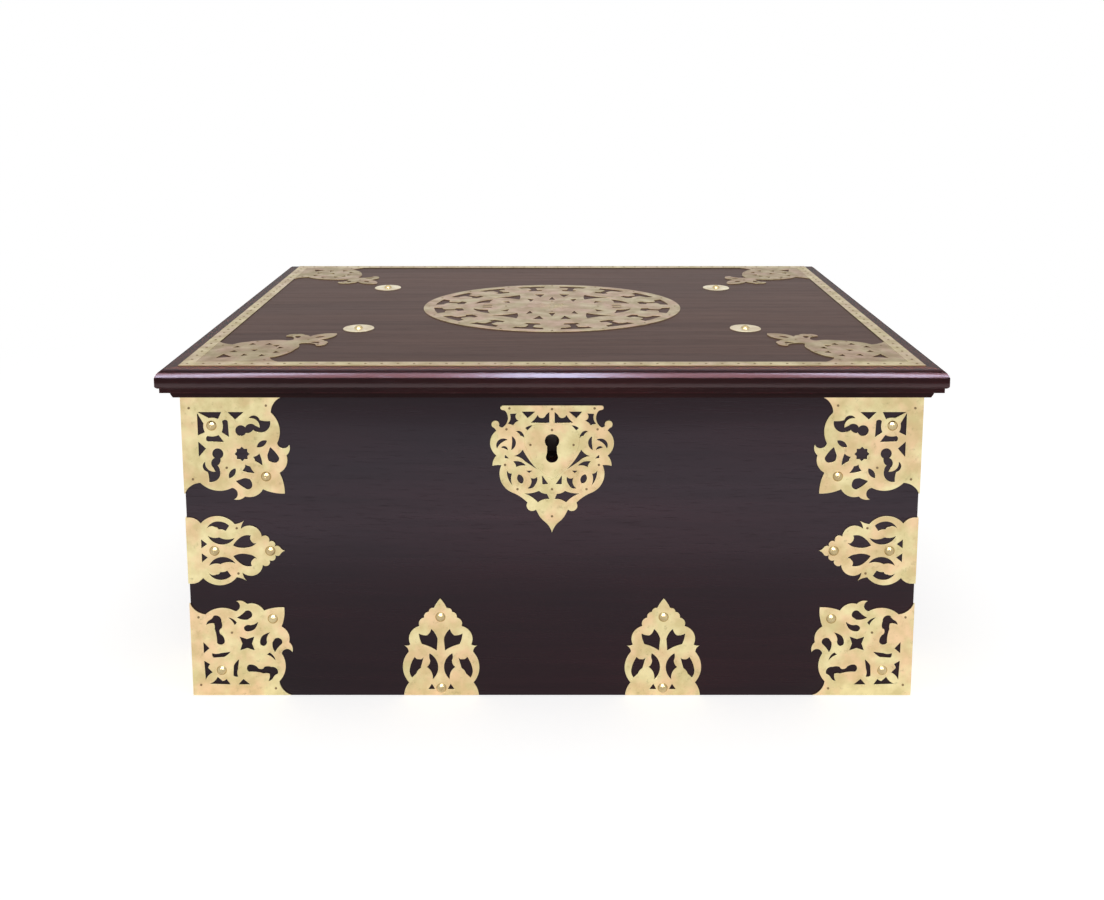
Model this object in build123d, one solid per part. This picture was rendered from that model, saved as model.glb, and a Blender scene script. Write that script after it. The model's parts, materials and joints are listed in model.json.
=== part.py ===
from build123d import *
import os
from math import asin, cos, degrees, pi, radians, sin, tan

# A brass-bound dowry chest: a boarded box with a hinged, moulded lid, pierced brass mounts,
# a key-operated box lock and a drop handle on each end.
# Millimetres. +Z is up, the front faces -Y, and the origin is the middle of the footprint, on the floor.

# ---------------------------------------------------------------- driving dimensions

# the wooden box
body_width = 958.0
body_depth = 709.0
body_height = 424.0
board_thickness = 22.0
bottom_thickness = 15.0
bottom_height = 18.0            # floor to the underside of the bottom board
groove_depth = 8.0              # how far the bottom board is let into the four boards
lap_depth = 12.0                # how far the end boards are let into the front and back boards

# the lid
lid_thickness = 30.0
lid_overhang = 25.0             # front and sides, beyond the box; the back is flush
moulding_width = 34.0           # plan width of the mitred edge moulding
nose_setback = 7.0              # top of the round nose, in from its front
nose_widest_height = 14.5
nose_bottom_height = 6.2
nose_undercut = 4.5             # step in below the nose
quirk_width = 1.7
quirk_depth = 1.6
lip_height = 10.0               # dust lip that hangs below the lid, outside the box
lip_setback = 14.5              # its outer face, in from the nose
lip_taper = 2.0
lip_gap = 1.0                   # between the lip and the box
batten_width = 45.0
batten_ease = 5.0               # chamfer on its lower edges
batten_thickness = 18.0
batten_inset = 190.0            # batten centre, in from the end board
batten_end_gap = 45.0           # batten end to the inside of the front and back boards

# brass sheet
sheet = 1.5                     # mounts on the box
lid_sheet = 1.2                 # strips and mounts on the lid
strip_width = 18.0
strip_margin = 23.4             # front and sides, from the nose to the strip
strip_back_margin = 2.0
mount_top_gap = 1.0             # below the dust lip
mount_floor_gap = 1.0
upper_mount_gap = 22.6          # between the top and middle mounts
lower_mount_gap = 22.7          # between the middle and bottom mounts
top_pattern_span = 141.7        # heights of the three patterns as drawn
middle_pattern_span = 97.0
bottom_pattern_span = 136.0
base_mount_inset = 331.0        # centre of each base mount, from the end of the box
escutcheon_drop = 22.0          # its top edge, below the top of the box
medallion_width = 407.0
medallion_depth = 343.0
rosette_radius = 22.5
rosette_inset_x = 197.6         # rosette centres, in from the outer edge of the border
rosette_inset_y = 205.0

# domed nails
nail_head_radius = 6.8
nail_head_height = 4.4
nail_shank_radius = 1.6
nail_length = 14.0
nail_fit = 0.1
pin_radius = 1.6
pin_proud = 0.3
pin_grip = 6.0                  # how far a pin goes into the wood
pin_pitch = 21.0                # along the lid's border
fastener_point = 3.5            # length of the taper at the tip of a nail or screw

# screws
screw_head_radius = 3.6
screw_head_height = 1.8
screw_shank_radius = 1.7
screw_length = 13.0
screw_fit = 0.1

# hinges
hinge_length = 110.0
hinge_inset = 175.0             # centre of each hinge, from the end of the box
hinge_leaf_depth = 21.0
hinge_leaf_thickness = 2.5
hinge_leaf_gap = 0.2            # between the closed leaves
knuckle_radius = 4.5
knuckle_count = 5
knuckle_end_gap = 0.3
knuckle_wood_gap = 0.3
hinge_pin_radius = 2.5
hinge_pin_fit = 0.05
lid_open_angle = 97.0           # where the hinge stops meet
stop_free_angle = 0.6
stop_reach = 4.0
stop_drop = 7.5
stop_length = 8.0
hinge_screws_per_leaf = 3
hinge_screw_pitch = 38.0
hinge_screw_inset = 10.0        # from the back of the box

# lock
lock_width = 120.0
lock_height = 98.0
lock_depth = 22.0
lock_wall = 2.0
lock_flange = 14.0
lock_top_gap = 0.5
keyhole_drop = 48.0             # keyhole circle centre, below the top of the escutcheon
key_post_radius = 2.5
bolt_throw = 9.0
bolt_bar_length = 94.0
bolt_bar_height = 11.0
bolt_thickness = 4.0
bolt_bar_drop = 44.0            # top of the bolt bar, below the top of the box
bolt_prong_height = 6.0
bolt_guide_gap = 0.3
ledge_thickness = 3.0
ledge_reach = 5.0               # each side of a guide's middle
crest_ledge_spare = 6.0         # past the spring's crest at both ends of its travel
riser_width = 6.0
talon_width = 9.0
talon_depth = 4.0
staple_offset = 26.0
staple_thickness = 4.0
staple_width = 13.0
staple_drop = 24.0
staple_eye_width = 6.5
staple_eye_height = 8.5
staple_slot_gap = 1.2
staple_side_gap = 1.0           # unlocked prong to the staple
link_plate_width = 96.0
link_plate_depth = 17.0
link_plate_thickness = 2.0
link_screw_offset = 42.0
backspring_thickness = 1.0
backspring_x = -34.0            # its foot on the bolt bar
backspring_foot = 8.0
backspring_reach = 14.0
backspring_rise = 9.0
backspring_fit = 0.3

# drop handles
handle_below_top = 200.0        # pivot, below the top of the box
handle_span = 96.0              # between the two posts
handle_plate_length = 156.0
handle_plate_height = 58.0
handle_drop = 52.0              # pivot to the middle of the grip
handle_reach = 18.0             # pivot, out from the plate
grip_radius = 4.6
bail_corner_radius = 16.0
pivot_radius = 3.2
pivot_fit = 0.05
post_eye_radius = 7.0
post_eye_length = 9.0
post_neck_radius = 4.5
post_base_radius = 11.0
post_base_height = 4.0
post_shank_radius = 3.0
post_fit = 0.1
nut_radius = 6.5
nut_thickness = 5.0
shank_past_nut = 3.0
arm_side_gap = 0.5

# ---------------------------------------------------------------- places that follow from them

hinge_proud = knuckle_wood_gap + 2 * knuckle_radius
overall_depth = lid_overhang + body_depth + hinge_proud
nose_y = -overall_depth / 2
front_y = nose_y + lid_overhang
back_y = front_y + body_depth
side_x = body_width / 2
inner_x = side_x - board_thickness
inner_front_y = front_y + board_thickness
inner_back_y = back_y - board_thickness
nose_x = side_x + lid_overhang
lid_bottom = body_height
lid_top = body_height + lid_thickness
pin_y = back_y + knuckle_wood_gap + knuckle_radius
pin_z = body_height
strip_x = nose_x - strip_margin
strip_front_y = nose_y + strip_margin
strip_back_y = back_y - strip_back_margin
lid_mid_y = (strip_front_y + strip_back_y) / 2
mount_top = body_height - lip_height - mount_top_gap
mount_room = mount_top - mount_floor_gap - upper_mount_gap - lower_mount_gap
mount_size = mount_room / (top_pattern_span + middle_pattern_span + bottom_pattern_span)
middle_mount_height = (
    mount_floor_gap + mount_size * (bottom_pattern_span + middle_pattern_span / 2) + lower_mount_gap
)
base_mount_offset = side_x - base_mount_inset
escutcheon_top = body_height - escutcheon_drop
keyhole_z = escutcheon_top - keyhole_drop
rosette_x = strip_x - rosette_inset_x
rosette_y = (strip_back_y - strip_front_y) / 2 - rosette_inset_y
hinge_offset = side_x - hinge_inset
handle_height = body_height - handle_below_top
lock_top = body_height - link_plate_thickness - lock_top_gap
lock_mid_y = inner_front_y + lock_depth / 2

# ---------------------------------------------------------------- outlines

def edges_along(points):
    """Edges through (x, y) points. A third number bulges the stretch that follows: its height
    over its chord, positive to the right of travel, so outwards on a counterclockwise outline."""
    edges = []
    for start, end in zip(points, points[1:]):
        x0, y0 = start[0], start[1]
        x1, y1 = end[0], end[1]
        bulge = start[2] if len(start) > 2 else 0
        if bulge:
            middle = ((x0 + x1) / 2 + (y1 - y0) * bulge, (y0 + y1) / 2 - (x1 - x0) * bulge)
            edges.append(Edge.make_three_point_arc((x0, y0), middle, (x1, y1)))
        else:
            edges.append(Edge.make_line((x0, y0), (x1, y1)))
    return edges


def closed(points):
    return Wire(edges_along(points + [points[0]]))


def mirrored_outline(half, about):
    """A closed outline from the half of it that starts and ends on the mirror line."""
    edges = edges_along(half)
    return Wire(edges + [edge.mirror(about) for edge in edges])


def with_mirror(wires, about):
    return wires + [wire.mirror(about) for wire in wires]


def round_hole(x, y, radius):
    return Wire(Edge.make_circle(radius, Plane(origin=(x, y, 0))))


def pierced_plate(outer, holes, thickness, nails=(), size=1.0):
    """A flat plate cut to a drawn pattern at a size, with true nail bores at the drawn nail places."""
    wires = [wire.scale(size, about=(0, 0, 0)) for wire in [outer] + holes]
    bores = [round_hole(x * size, y * size, nail_hole) for x, y in nails]
    return extrude(Face(wires[0], wires[1:] + bores), amount=thickness, dir=(0, 0, 1))


DIAGONAL = Plane(origin=(0, 0, 0), z_dir=(1, -1, 0))
UPRIGHT = Plane.YZ
LEVEL = Plane.XZ
nail_hole = nail_shank_radius + nail_fit


def star_outline(x, y, outer, inner, tips):
    ring = []
    for step in range(2 * tips):
        reach = outer if step % 2 == 0 else inner
        turn = pi * step / tips + pi / 4
        ring.append((x + reach * cos(turn), y + reach * sin(turn)))
    return closed(ring)


def block(x, y, z):
    """A box between two x, two y and two z values."""
    return Pos((x[0] + x[1]) / 2, (y[0] + y[1]) / 2, (z[0] + z[1]) / 2) * Box(
        x[1] - x[0], y[1] - y[0], z[1] - z[0]
    )


def rod(start, end, radius):
    """A cylinder from one point to another."""
    start, end = Vector(*start), Vector(*end)
    direction = end - start
    return Solid.make_cylinder(radius, direction.length, Plane(origin=start, z_dir=direction))


parts = {}

# ---------------------------------------------------------------- the fretwork patterns

top_nails = [(39.0, 39.0), (109.0, 109.0)]
top_pins = [(10.0, 15.0), (112.0, 11.5), (11.5, 113.0), (57.0, 97.0)]
bottom_nails = [(39.0, 36.5), (111.0, 111.0)]
bottom_pins = [(10.0, 15.0), (112.0, 10.0), (10.5, 113.0), (55.0, 91.0)]
middle_nails = [(36.0, 0.0), (111.0, 0.0)]
middle_pins = [(67.0, 32.0), (67.0, -32.0)]
base_nails = [(0.0, 10.5), (0.0, 111.0)]
escutcheon_pins = [(0, -5), (0, -33), (0, -113), (0, -150)]
for x, y in [(55, -4), (59, -32), (28, -53), (61, -80), (45, -113)]:
    escutcheon_pins += [(-x, y), (x, y)]
lid_corner_pins = [(104, 28), (28, 104), (126, 70), (70, 126), (138, 138), (157, 111), (111, 157)]
medallion_pins = [(0.36, 0), (-0.36, 0), (0, 0.22), (0, -0.22)]     # shares of its half width and half depth
for index in range(16):
    medallion_pins.append((0.962 * cos(pi * index / 8), 0.962 * sin(pi * index / 8)))


def top_wing():
    """One wing of a top mount. Both axes run away from the corner of the box."""
    half = [
        (0, 0), (133, 0, -0.15), (118, 21, 0.17), (125, 63, -0.38), (141, 65, 0.15), (137, 80, 0.18),
        (127, 104, 0.06), (133, 133),
    ]
    holes = [
        closed([(21.5, 20.5), (52.5, 20.5), (48, 30, -0.1), (36, 28.5)]),
        closed([(61, 20.5), (82, 20.5), (70.5, 30.5)]),
        closed([(53.2, 33.6, 0.3), (60.7, 33), (61.5, 54.6), (52, 48, -0.1)]),
        closed([
            (88.6, 28.7, 0.33), (103, 31.5, -0.05), (116.7, 32.8, 0.28), (100.5, 47.6, 0.1), (94, 44.8, 0.15),
            (84.2, 49, 1.8), (83.5, 41.5, 0.27), (96.8, 39), (102.5, 41.8, -0.26),
        ]),
        closed([(98, 68.5, 0.22), (111.5, 59.5, 0.22)]),
        closed([(115.5, 68.5, 0.05), (127, 83, 0.2), (122, 90, 0.1), (113, 87, 0.05), (111.5, 79.6)]),
        closed([(92.5, 82, -0.1), (101, 77.5, 0.05), (104.5, 94, -0.05), (95, 88, -0.1)]),
    ]
    holes = with_mirror(holes, DIAGONAL)
    holes.append(star_outline(78, 78, 10.0, 7.6, 8))
    return pierced_plate(mirrored_outline(half, DIAGONAL), holes, sheet, top_nails, mount_size)


def bottom_wing():
    """One wing of a bottom mount. Both axes run away from the foot of the corner of the box."""
    half = [
        (0, 0), (133, 0, -0.15), (117, 20, 0.17), (121.5, 60.5, -0.38), (136, 62.5, 0.15), (132, 77, 0.18),
        (122.5, 99.5, 0.06), (127, 127),
    ]
    holes = [
        closed([(22, 16.5), (50, 15.5), (45, 23.5, -0.1), (39.5, 20.5), (33, 26.5, -0.1)]),
        closed([(61, 15.5), (77, 15.5), (68, 23.5)]),
        closed([(54.5, 28.5, 0.15), (61, 27, -0.1), (61, 38), (63, 52, 0.05), (55.5, 43)]),
        closed([
            (76, 34, -0.05), (96, 31.5, -0.08), (104, 31, -0.1), (102, 20.5, 0.1), (108, 24, -0.1), (115, 31, 0.3),
            (107, 41, 0.1), (97, 41, -0.2), (92, 38, -0.15), (87, 41.5, 0.1), (77, 44.5, 0.3),
        ]),
        closed([(101.5, 59, -0.08), (112.5, 50.5, 0.12), (105, 62)]),
        closed([(112.5, 62.5, -0.05), (121.5, 74, 0.25), (119.5, 82.5, 0.15), (113, 82), (109.5, 77, 0.1)]),
        closed([(92.5, 75.5, 0.2), (98, 71.5, 0.2), (101.5, 80, -0.1), (106.5, 91, 0.05), (96.5, 86.5, 0.1)]),
    ]
    holes = with_mirror(holes, DIAGONAL)
    holes.append(star_outline(75, 75, 14.0, 6.5, 4))
    return pierced_plate(mirrored_outline(half, DIAGONAL), holes, sheet, bottom_nails, mount_size)


def middle_wing():
    """One wing of a middle mount: x away from the edge of the box, y along it from the centre."""
    half = [
        (131, 0, -0.12), (124, 5.5, 0.2), (117, 6, 0.42), (109.5, 13, 0.42), (100, 20, 0.32),
        (72.5, 31, -0.08), (77.5, 42.5, -0.06), (64.5, 37.5, 0.24), (19, 38.5, 0.15), (0, 46.5), (0, 0),
    ]
    holes = [
        closed([
            (27, 31.5, -0.2), (37.5, 33.5, -0.2), (42.5, 30, -0.1), (52, 28), (57, 35.5, 0.12), (39, 41, 0.12),
        ]),
        closed([(28, 21, 0.3), (63.5, 18, -0.12), (43, 19, -0.12)]),
        closed([(18.5, 3.6), (26.5, 9.5), (18.5, 16)]),
        closed([
            (61, 7.5, 0.1), (81, 5, 0.12), (93, 12, -0.3), (87, 12.5, -0.2), (85.5, 21.5, 0.12), (71, 18.5, 0.05),
        ]),
    ]
    holes = with_mirror(holes, LEVEL)
    return pierced_plate(mirrored_outline(half, LEVEL), holes, sheet, middle_nails, mount_size)


def base_plate():
    """A base mount: x from its centre line, y up from its foot."""
    half = [
        (0, 0), (50, 0, 0.08), (43, 18, 0.185), (43, 61.5, -0.15), (48.5, 70.5, -0.1), (40.5, 72, 0.24),
        (28, 98, 0.25), (21.5, 110, 0.25), (15.5, 118, 0.25), (8.5, 123.5, 0.04), (0, 137),
    ]
    holes = [
        closed([
            (5.5, 63.5, -0.05), (25, 72.5, 0.05), (29, 87.5, -0.08), (18, 85, -0.1), (12.5, 94, 0.08), (4.2, 80),
        ]),
        closed([(11.5, 22.5, -0.15), (19, 40, -0.12), (14.5, 49.5, 0.1), (15, 59.5, 0.25)]),
        closed([
            (39, 25, 0.12), (41.5, 39, 0.05), (35, 54.5, -0.15), (29, 51, -0.15), (23.3, 53.5), (27.3, 38.5, -0.1),
            (33, 31),
        ]),
        closed([(8.5, 8.5), (17.5, 8.5), (12.5, 16)]),
    ]
    holes = with_mirror(holes, UPRIGHT)
    return pierced_plate(mirrored_outline(half, UPRIGHT), holes, sheet, base_nails)


# the keyhole, measured from the centre of its round head
key_head_radius = 9.3
key_waist = 6.3
key_waist_drop = 12.0
key_foot = 8.0
key_foot_drop = 21.5


def keyhole_outline():
    throat = (key_head_radius**2 - key_waist**2) ** 0.5
    head_bulge = (key_head_radius + throat) / (2 * key_waist)
    return closed([
        (-key_waist, -key_waist_drop, -0.05), (-key_foot, -key_foot_drop, 0.48), (key_foot, -key_foot_drop, -0.05),
        (key_waist, -key_waist_drop), (key_waist, -throat, head_bulge), (-key_waist, -throat),
    ])


def escutcheon_plate():
    """The keyhole plate: x from its centre line, y up from its top edge."""
    half = [
        (0, -173, -0.08), (9, -158, 0.06), (18, -147), (21, -141, 0.45), (32, -131.5, -0.05), (50, -118.5, 0.22),
        (65.8, -80.5, -0.05), (77.5, -81.5, 0.1), (72.3, -67.5, 0.24), (72.3, -34, -0.1), (76.5, -29.5, 1.0),
        (68.6, -27.5, -0.15), (64, -29.5, -0.22), (60, -8, -0.1), (63.5, -6.5, 0.5), (63.5, 0), (0, 0),
    ]
    holes = [
        closed([(3.5, -23.5), (27, -23, -0.05), (18.5, -13, -0.4), (8, -13), (3.5, -9)]),
        closed([(31.5, -17), (39, -8.5), (22, -8.5)]),
        closed([(50, -26.5), (57, -24.5, -0.15), (54.5, -11.5), (45.5, -11, -0.3), (43, -20.5, -0.1)]),
        closed([(36, -43.5, -0.1), (41, -40.5, -0.1), (46.5, -35, 0.2), (38.5, -37, 0.1)]),
        closed([(25.5, -27), (31.5, -33.5), (34.5, -30.5, 0.1)]),
        closed([(52, -41.5, 0.3), (53, -60, -0.04)]),
        closed([(57.5, -46.5, -0.13), (71.3, -58, 0.4)]),
        closed([(57.5, -60, -0.02), (66, -56.5, 0.36)]),
        closed([(19.5, -86), (35.5, -75, -0.12), (50, -68.5, -0.1), (38, -59.5, -0.04)]),
        closed([(56, -71.5), (61.5, -71), (61, -66.5)]),
        closed([(33.5, -81.5, -0.1), (46.5, -83, -0.1), (50.5, -75.5, 0.15)]),
        closed([(51.5, -108, 0.1), (58.7, -87, -0.2), (52.3, -92, -0.1)]),
        closed([(25.8, -88), (29.7, -91), (33.5, -88)]),
        closed([(39, -105.5, 0.3), (43.5, -93, 0.3)]),
        closed([(19.5, -96.5, 0.12), (22, -107, 0.2), (32, -112, -0.2), (28, -97.5, -0.2)]),
        closed([(5, -106), (12.5, -106.5), (13, -94.5)]),
        closed([(3.4, -126.5, -0.1), (18.5, -131, -0.07), (36, -119, -0.06), (17, -115.5, -0.1), (6.5, -119.5)]),
    ]
    holes = with_mirror(holes, UPRIGHT)
    keyhole = keyhole_outline().moved(Pos(0, -keyhole_drop))
    return pierced_plate(mirrored_outline(half, UPRIGHT), holes + [keyhole], sheet)


def lid_corner_plate():
    """A lid corner mount, inside the border strips. Both axes run away from the border's corner."""
    inset = strip_width
    half = [
        (inset, inset), (124, inset, -0.08), (108, 40, 0.08), (122, 54, 0.06), (132, 84, 0.1), (131, 110, -0.3),
        (141, 117, -0.2), (156, 103, 0.3), (168, 116, 0.25), (163, 128, 0.2), (152, 137, 0.2), (172, 172),
    ]
    triangles = [(52, 71), (50, 95), (67, 110), (90, 110)]
    large = [closed([(37, 37), (58, 42), (42, 58)])]
    small = []
    for x, y in triangles:
        small.append(closed([(x - 5, y - 4), (x + 6, y - 2), (x - 1, y + 6)]))
    small.append(closed([(144, 122, 0.1), (156, 116, 0.25), (155, 124, 0.1)]))
    on_diagonal = [star_outline(x, x, 6.0, 3.2, 3) for x in (78.0, 102.0)]
    on_diagonal.append(closed([(146, 146, 0.2), (158, 158, 0.2)]))
    holes = large + with_mirror(small, DIAGONAL) + on_diagonal
    return pierced_plate(mirrored_outline(half, DIAGONAL), holes, lid_sheet)


def on_oval(across, along, bulge=0):
    """A point at shares of the medallion's half width and half depth, with its outline's bulge."""
    return (medallion_width / 2 * across, medallion_depth / 2 * along, bulge)


def medallion_plate():
    """The oval medallion: a ring of hammer-shaped piercings, then leaves and buds round a solid centre."""
    bays = 16
    hammer = [
        (0.92, -0.34, 0.033), (0.92, 0.34, 0), (0.855, 0.29, -0.12), (0.835, 0.08, 0), (0.765, 0.08, -0.1),
        (0.75, 0.22, 0), (0.70, 0.17, 0), (0.70, -0.17, 0), (0.75, -0.22, -0.1), (0.765, -0.08, 0),
        (0.835, -0.08, -0.12), (0.855, -0.29, 0),
    ]                           # (reach from the centre, share of a bay, bulge)
    ring = []
    for index in range(bays):
        points = []
        for reach, share, bulge in hammer:
            turn = 2 * pi * (index + 0.5 + share) / bays
            points.append(on_oval(reach * cos(turn), reach * sin(turn), bulge))
        ring.append(closed(points))
    quarter = [
        [(0.095, 0.40, 0), (0.145, 0.53, 0), (0.06, 0.54, 0)],
        [(0.17, 0.20, 0), (0.20, 0.33, 0), (0.145, 0.30, 0)],
        [(0.265, 0.29, -0.08), (0.48, 0.38, -0.06), (0.265, 0.50, 0.05)],
        [(0.495, 0.15, -0.1), (0.61, 0.10, 0.14), (0.47, 0.30, -0.05)],
        [(0.465, 0.025, 0), (0.55, 0.025, 0), (0.535, 0.06, 0), (0.475, 0.065, 0)],
        [(0.33, 0.13, 0), (0.40, 0.19, 0), (0.345, 0.22, 0)],
    ]
    quarter = [closed([on_oval(*point) for point in points]) for points in quarter]
    buds = [closed([on_oval(-0.026, 0.28, 0), on_oval(0.026, 0.28, 0), on_oval(0, 0.42, 0)])]
    holes = ring + with_mirror(with_mirror(quarter, UPRIGHT), LEVEL) + with_mirror(buds, LEVEL)
    outer = Wire(Edge.make_ellipse(medallion_width / 2, medallion_depth / 2))
    return pierced_plate(outer, holes, lid_sheet)


# ---------------------------------------------------------------- nails and screws

def turned(profile):
    """A solid of revolution about Z from (radius, height, bulge) points."""
    face = Face(closed(profile))
    return revolve(Plane.XZ * face, axis=Axis.Z)


def fastener(head_radius, head_height, shank_radius, length):
    """Domed head on the surface at zero, shank and point below it, down -Z."""
    dome_radius = (head_radius**2 + head_height**2) / (2 * head_height)
    rim_latitude = degrees(asin((dome_radius - head_height) / dome_radius))
    centre = Plane(origin=(0, 0, head_height - dome_radius))
    head = Solid.make_sphere(dome_radius, centre, rim_latitude, 90)
    point = Solid.make_cone(0, shank_radius, fastener_point, Plane(origin=(0, 0, -length)))
    return head + rod((0, 0, fastener_point - length), (0, 0, 0), shank_radius) + point


def drill(point, direction, radius, depth):
    start = Vector(*point)
    return rod(start, start + Vector(*direction) * depth, radius)


# ---------------------------------------------------------------- mounts on the box

def corner_mount(wing, side, front, height, upside_down):
    """A bent mount: the same wing on the front or back board and on the end board."""
    canonical_front = Plane.XZ * wing
    canonical_end = Plane(origin=(0, 0, 0), x_dir=(0, 1, 0), z_dir=(1, 0, 0)) * wing
    canonical_end = Pos(-sheet, 0, 0) * canonical_end
    span = canonical_front.bounding_box()
    along_edge = [point.Z for point in canonical_front.vertices() if abs(point.X) < 0.001]
    bend = block((-sheet, 0), (-sheet, 0), (min(along_edge), max(along_edge)))
    mount = canonical_front + canonical_end + bend
    bend_edges = mount.edges().filter_by(Axis.Z).filter_by(
        lambda edge: abs(edge.center().X + sheet) < 0.01 and abs(edge.center().Y + sheet) < 0.01
    )
    mount = fillet(bend_edges, sheet * 0.9)
    if upside_down:
        mount = mirror(mount, about=Plane.XY)
    mount = Pos(-side_x, front_y, height) * mount
    if side > 0:
        mount = mirror(mount, about=Plane.YZ)
    if not front:
        mount = mirror(mount, about=Plane.XZ.offset(-(front_y + back_y) / 2))
    return mount


mount_rows = {
    "top": (top_wing(), mount_top, True, top_nails, top_pins),
    "middle": (middle_wing(), middle_mount_height, False, middle_nails, middle_pins),
    "bottom": (bottom_wing(), mount_floor_gap, False, bottom_nails, bottom_pins),
}
nail_places = []                # (point on the wood, outward direction)
pin_places = []


def places_round_corner(side, height, upside_down, spots):
    """Spots of a wing's pattern, on the front, the back and both end faces beside them."""
    places = []
    for away, along in spots:
        away, along = away * mount_size, along * mount_size
        z = height - along if upside_down else height + along
        for face_y, out in ((front_y, -1), (back_y, 1)):
            places.append(((side * (side_x - away), face_y, z), (0, out, 0)))
            places.append(((side * side_x, face_y - out * away, z), (side, 0, 0)))
    return places


for side_name, side in (("left", -1), ("right", 1)):
    rear = []
    for row, (wing, height, upside_down, nails, pins) in mount_rows.items():
        parts[f"{row}_{side_name}_mount"] = corner_mount(wing, side, True, height, upside_down)
        rear.append(corner_mount(wing, side, False, height, upside_down))
        nail_places += places_round_corner(side, height, upside_down, nails)
        pin_places += places_round_corner(side, height, upside_down, pins)
    parts[f"rear_{side_name}_mounts"] = Compound(rear)
    base_x = side * base_mount_offset
    parts[f"{side_name}_base_mount"] = Pos(base_x, front_y, mount_floor_gap) * (Plane.XZ * base_plate())
    for away, up in base_nails:
        nail_places.append(((base_x + away, front_y, mount_floor_gap + up), (0, -1, 0)))

parts["escutcheon"] = Pos(0, front_y, escutcheon_top) * (Plane.XZ * escutcheon_plate())
pin_places += [((x, front_y, escutcheon_top + y), (0, -1, 0)) for x, y in escutcheon_pins]


def pin(point, outward, cover):
    """An escutcheon pin, driven through brass of a thickness into the wood at a point on it."""
    point, outward = Vector(*point), Vector(*outward)
    return rod(point - outward * pin_grip, point + outward * (cover + pin_proud), pin_radius)


def placed_fastener(fastener, point, direction, lift):
    start = Vector(*point) + Vector(*direction) * lift
    return Plane(origin=start, z_dir=direction) * fastener


nail = fastener(nail_head_radius, nail_head_height, nail_shank_radius, nail_length)
parts["body_nails"] = Compound([placed_fastener(nail, point, out, sheet) for point, out in nail_places])
parts["body_pins"] = Compound([pin(point, out, sheet) for point, out in pin_places])
nail_bores = []
for point, out in nail_places:
    nail_bores.append((out, drill(point, [-value for value in out], nail_hole, nail_length)))

# ---------------------------------------------------------------- the box

half_lap = board_thickness - lap_depth
groove_z = (bottom_height, bottom_height + bottom_thickness)


def bored(board, facing):
    """The board with the bores of the nails that are driven into its face."""
    bores = [bore for out, bore in nail_bores if out == facing]
    return board - bores


front_board = block((-side_x, side_x), (front_y, inner_front_y), (0, body_height))
back_board = block((-side_x, side_x), (inner_back_y, back_y), (0, body_height))
for side in (-1, 1):
    # rebates at the ends of the front and back boards take the end boards
    rebate_x = sorted((side * inner_x, side * side_x))
    front_board -= block(rebate_x, (front_y + half_lap, inner_front_y), (0, body_height))
    back_board -= block(rebate_x, (inner_back_y, back_y - half_lap), (0, body_height))
bottom_x = (-inner_x - groove_depth, inner_x + groove_depth)
bottom_y = (inner_front_y - groove_depth, inner_back_y + groove_depth)
bottom = block(bottom_x, bottom_y, groove_z)
keyhole_cut = Plane(origin=(0, front_y - 1, keyhole_z), x_dir=(1, 0, 0), z_dir=(0, -1, 0)) * extrude(
    Face(keyhole_outline()), amount=-(board_thickness + 2), dir=(0, 0, 1)
)
end_y = (front_y + half_lap, back_y - half_lap)
left_end = block((-side_x, -inner_x), end_y, (0, body_height)) - bottom
right_end = block((inner_x, side_x), end_y, (0, body_height)) - bottom
front_board = bored(front_board - bottom - keyhole_cut, (0, -1, 0))
back_board = bored(back_board - bottom, (0, 1, 0))
# nails near the corners reach the end boards behind the laps too
left_end -= [bore for out, bore in nail_bores]
right_end -= [bore for out, bore in nail_bores]
front_board -= [bore for out, bore in nail_bores if out[0]]
back_board -= [bore for out, bore in nail_bores if out[0]]
parts["bottom_board"] = bottom

# ---------------------------------------------------------------- the lid

def moulding_profile():
    """Section of the edge moulding: x in from the nose, y up from the lid's underside."""
    top = lid_thickness
    return Face(closed([
        (nose_undercut, 0), (moulding_width, 0), (moulding_width, top), (nose_setback + quirk_width, top),
        (nose_setback + quirk_width / 2, top - quirk_depth), (nose_setback, top - quirk_depth / 2, 0.17),
        (0, nose_widest_height, 0.2), (nose_undercut * 0.7, nose_bottom_height), (nose_undercut, nose_bottom_height),
    ]))


def lip_profile():
    inner = lid_overhang - lip_gap
    return Face(closed([
        (lip_setback, 0, 0.08), (lip_setback + lip_taper, -lip_height + 2, 0.2),
        (lip_setback + lip_taper + 2, -lip_height), (inner, -lip_height), (inner, 0),
    ]))


def mitre_area(which, width, inset):
    """Plan area of the front, left or right run of the lid's edge, cut at the mitres."""
    low, high = lid_bottom - lip_height - 1, lid_top + 1
    x0, y0 = nose_x - inset, nose_y + inset
    x1, y1 = nose_x - width, nose_y + width
    if which == "front":
        plan = [(-x0, y0), (x0, y0), (x1, y1), (-x1, y1)]
    else:
        side = -1 if which == "left" else 1
        plan = [(side * x0, y0), (side * x1, y1), (side * x1, back_y), (side * x0, back_y)]
    face = make_face(Polyline(plan, close=True))
    return Pos(0, 0, low) * extrude(face, amount=high - low, dir=(0, 0, 1))


def edge_run(profile, which):
    """A length of lid edge from its profile: across the front, or back along one side."""
    if which == "front":
        plane = Plane(origin=(-nose_x, nose_y, lid_bottom), x_dir=(0, 1, 0), z_dir=(1, 0, 0))
        return extrude(plane * profile, amount=2 * nose_x, dir=(1, 0, 0))
    plane = Plane(origin=(-nose_x, nose_y, lid_bottom), x_dir=(1, 0, 0), z_dir=(0, -1, 0))
    run = extrude(plane * profile, amount=back_y - nose_y, dir=(0, 1, 0))
    return run if which == "left" else mirror(run, about=Plane.YZ)


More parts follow.
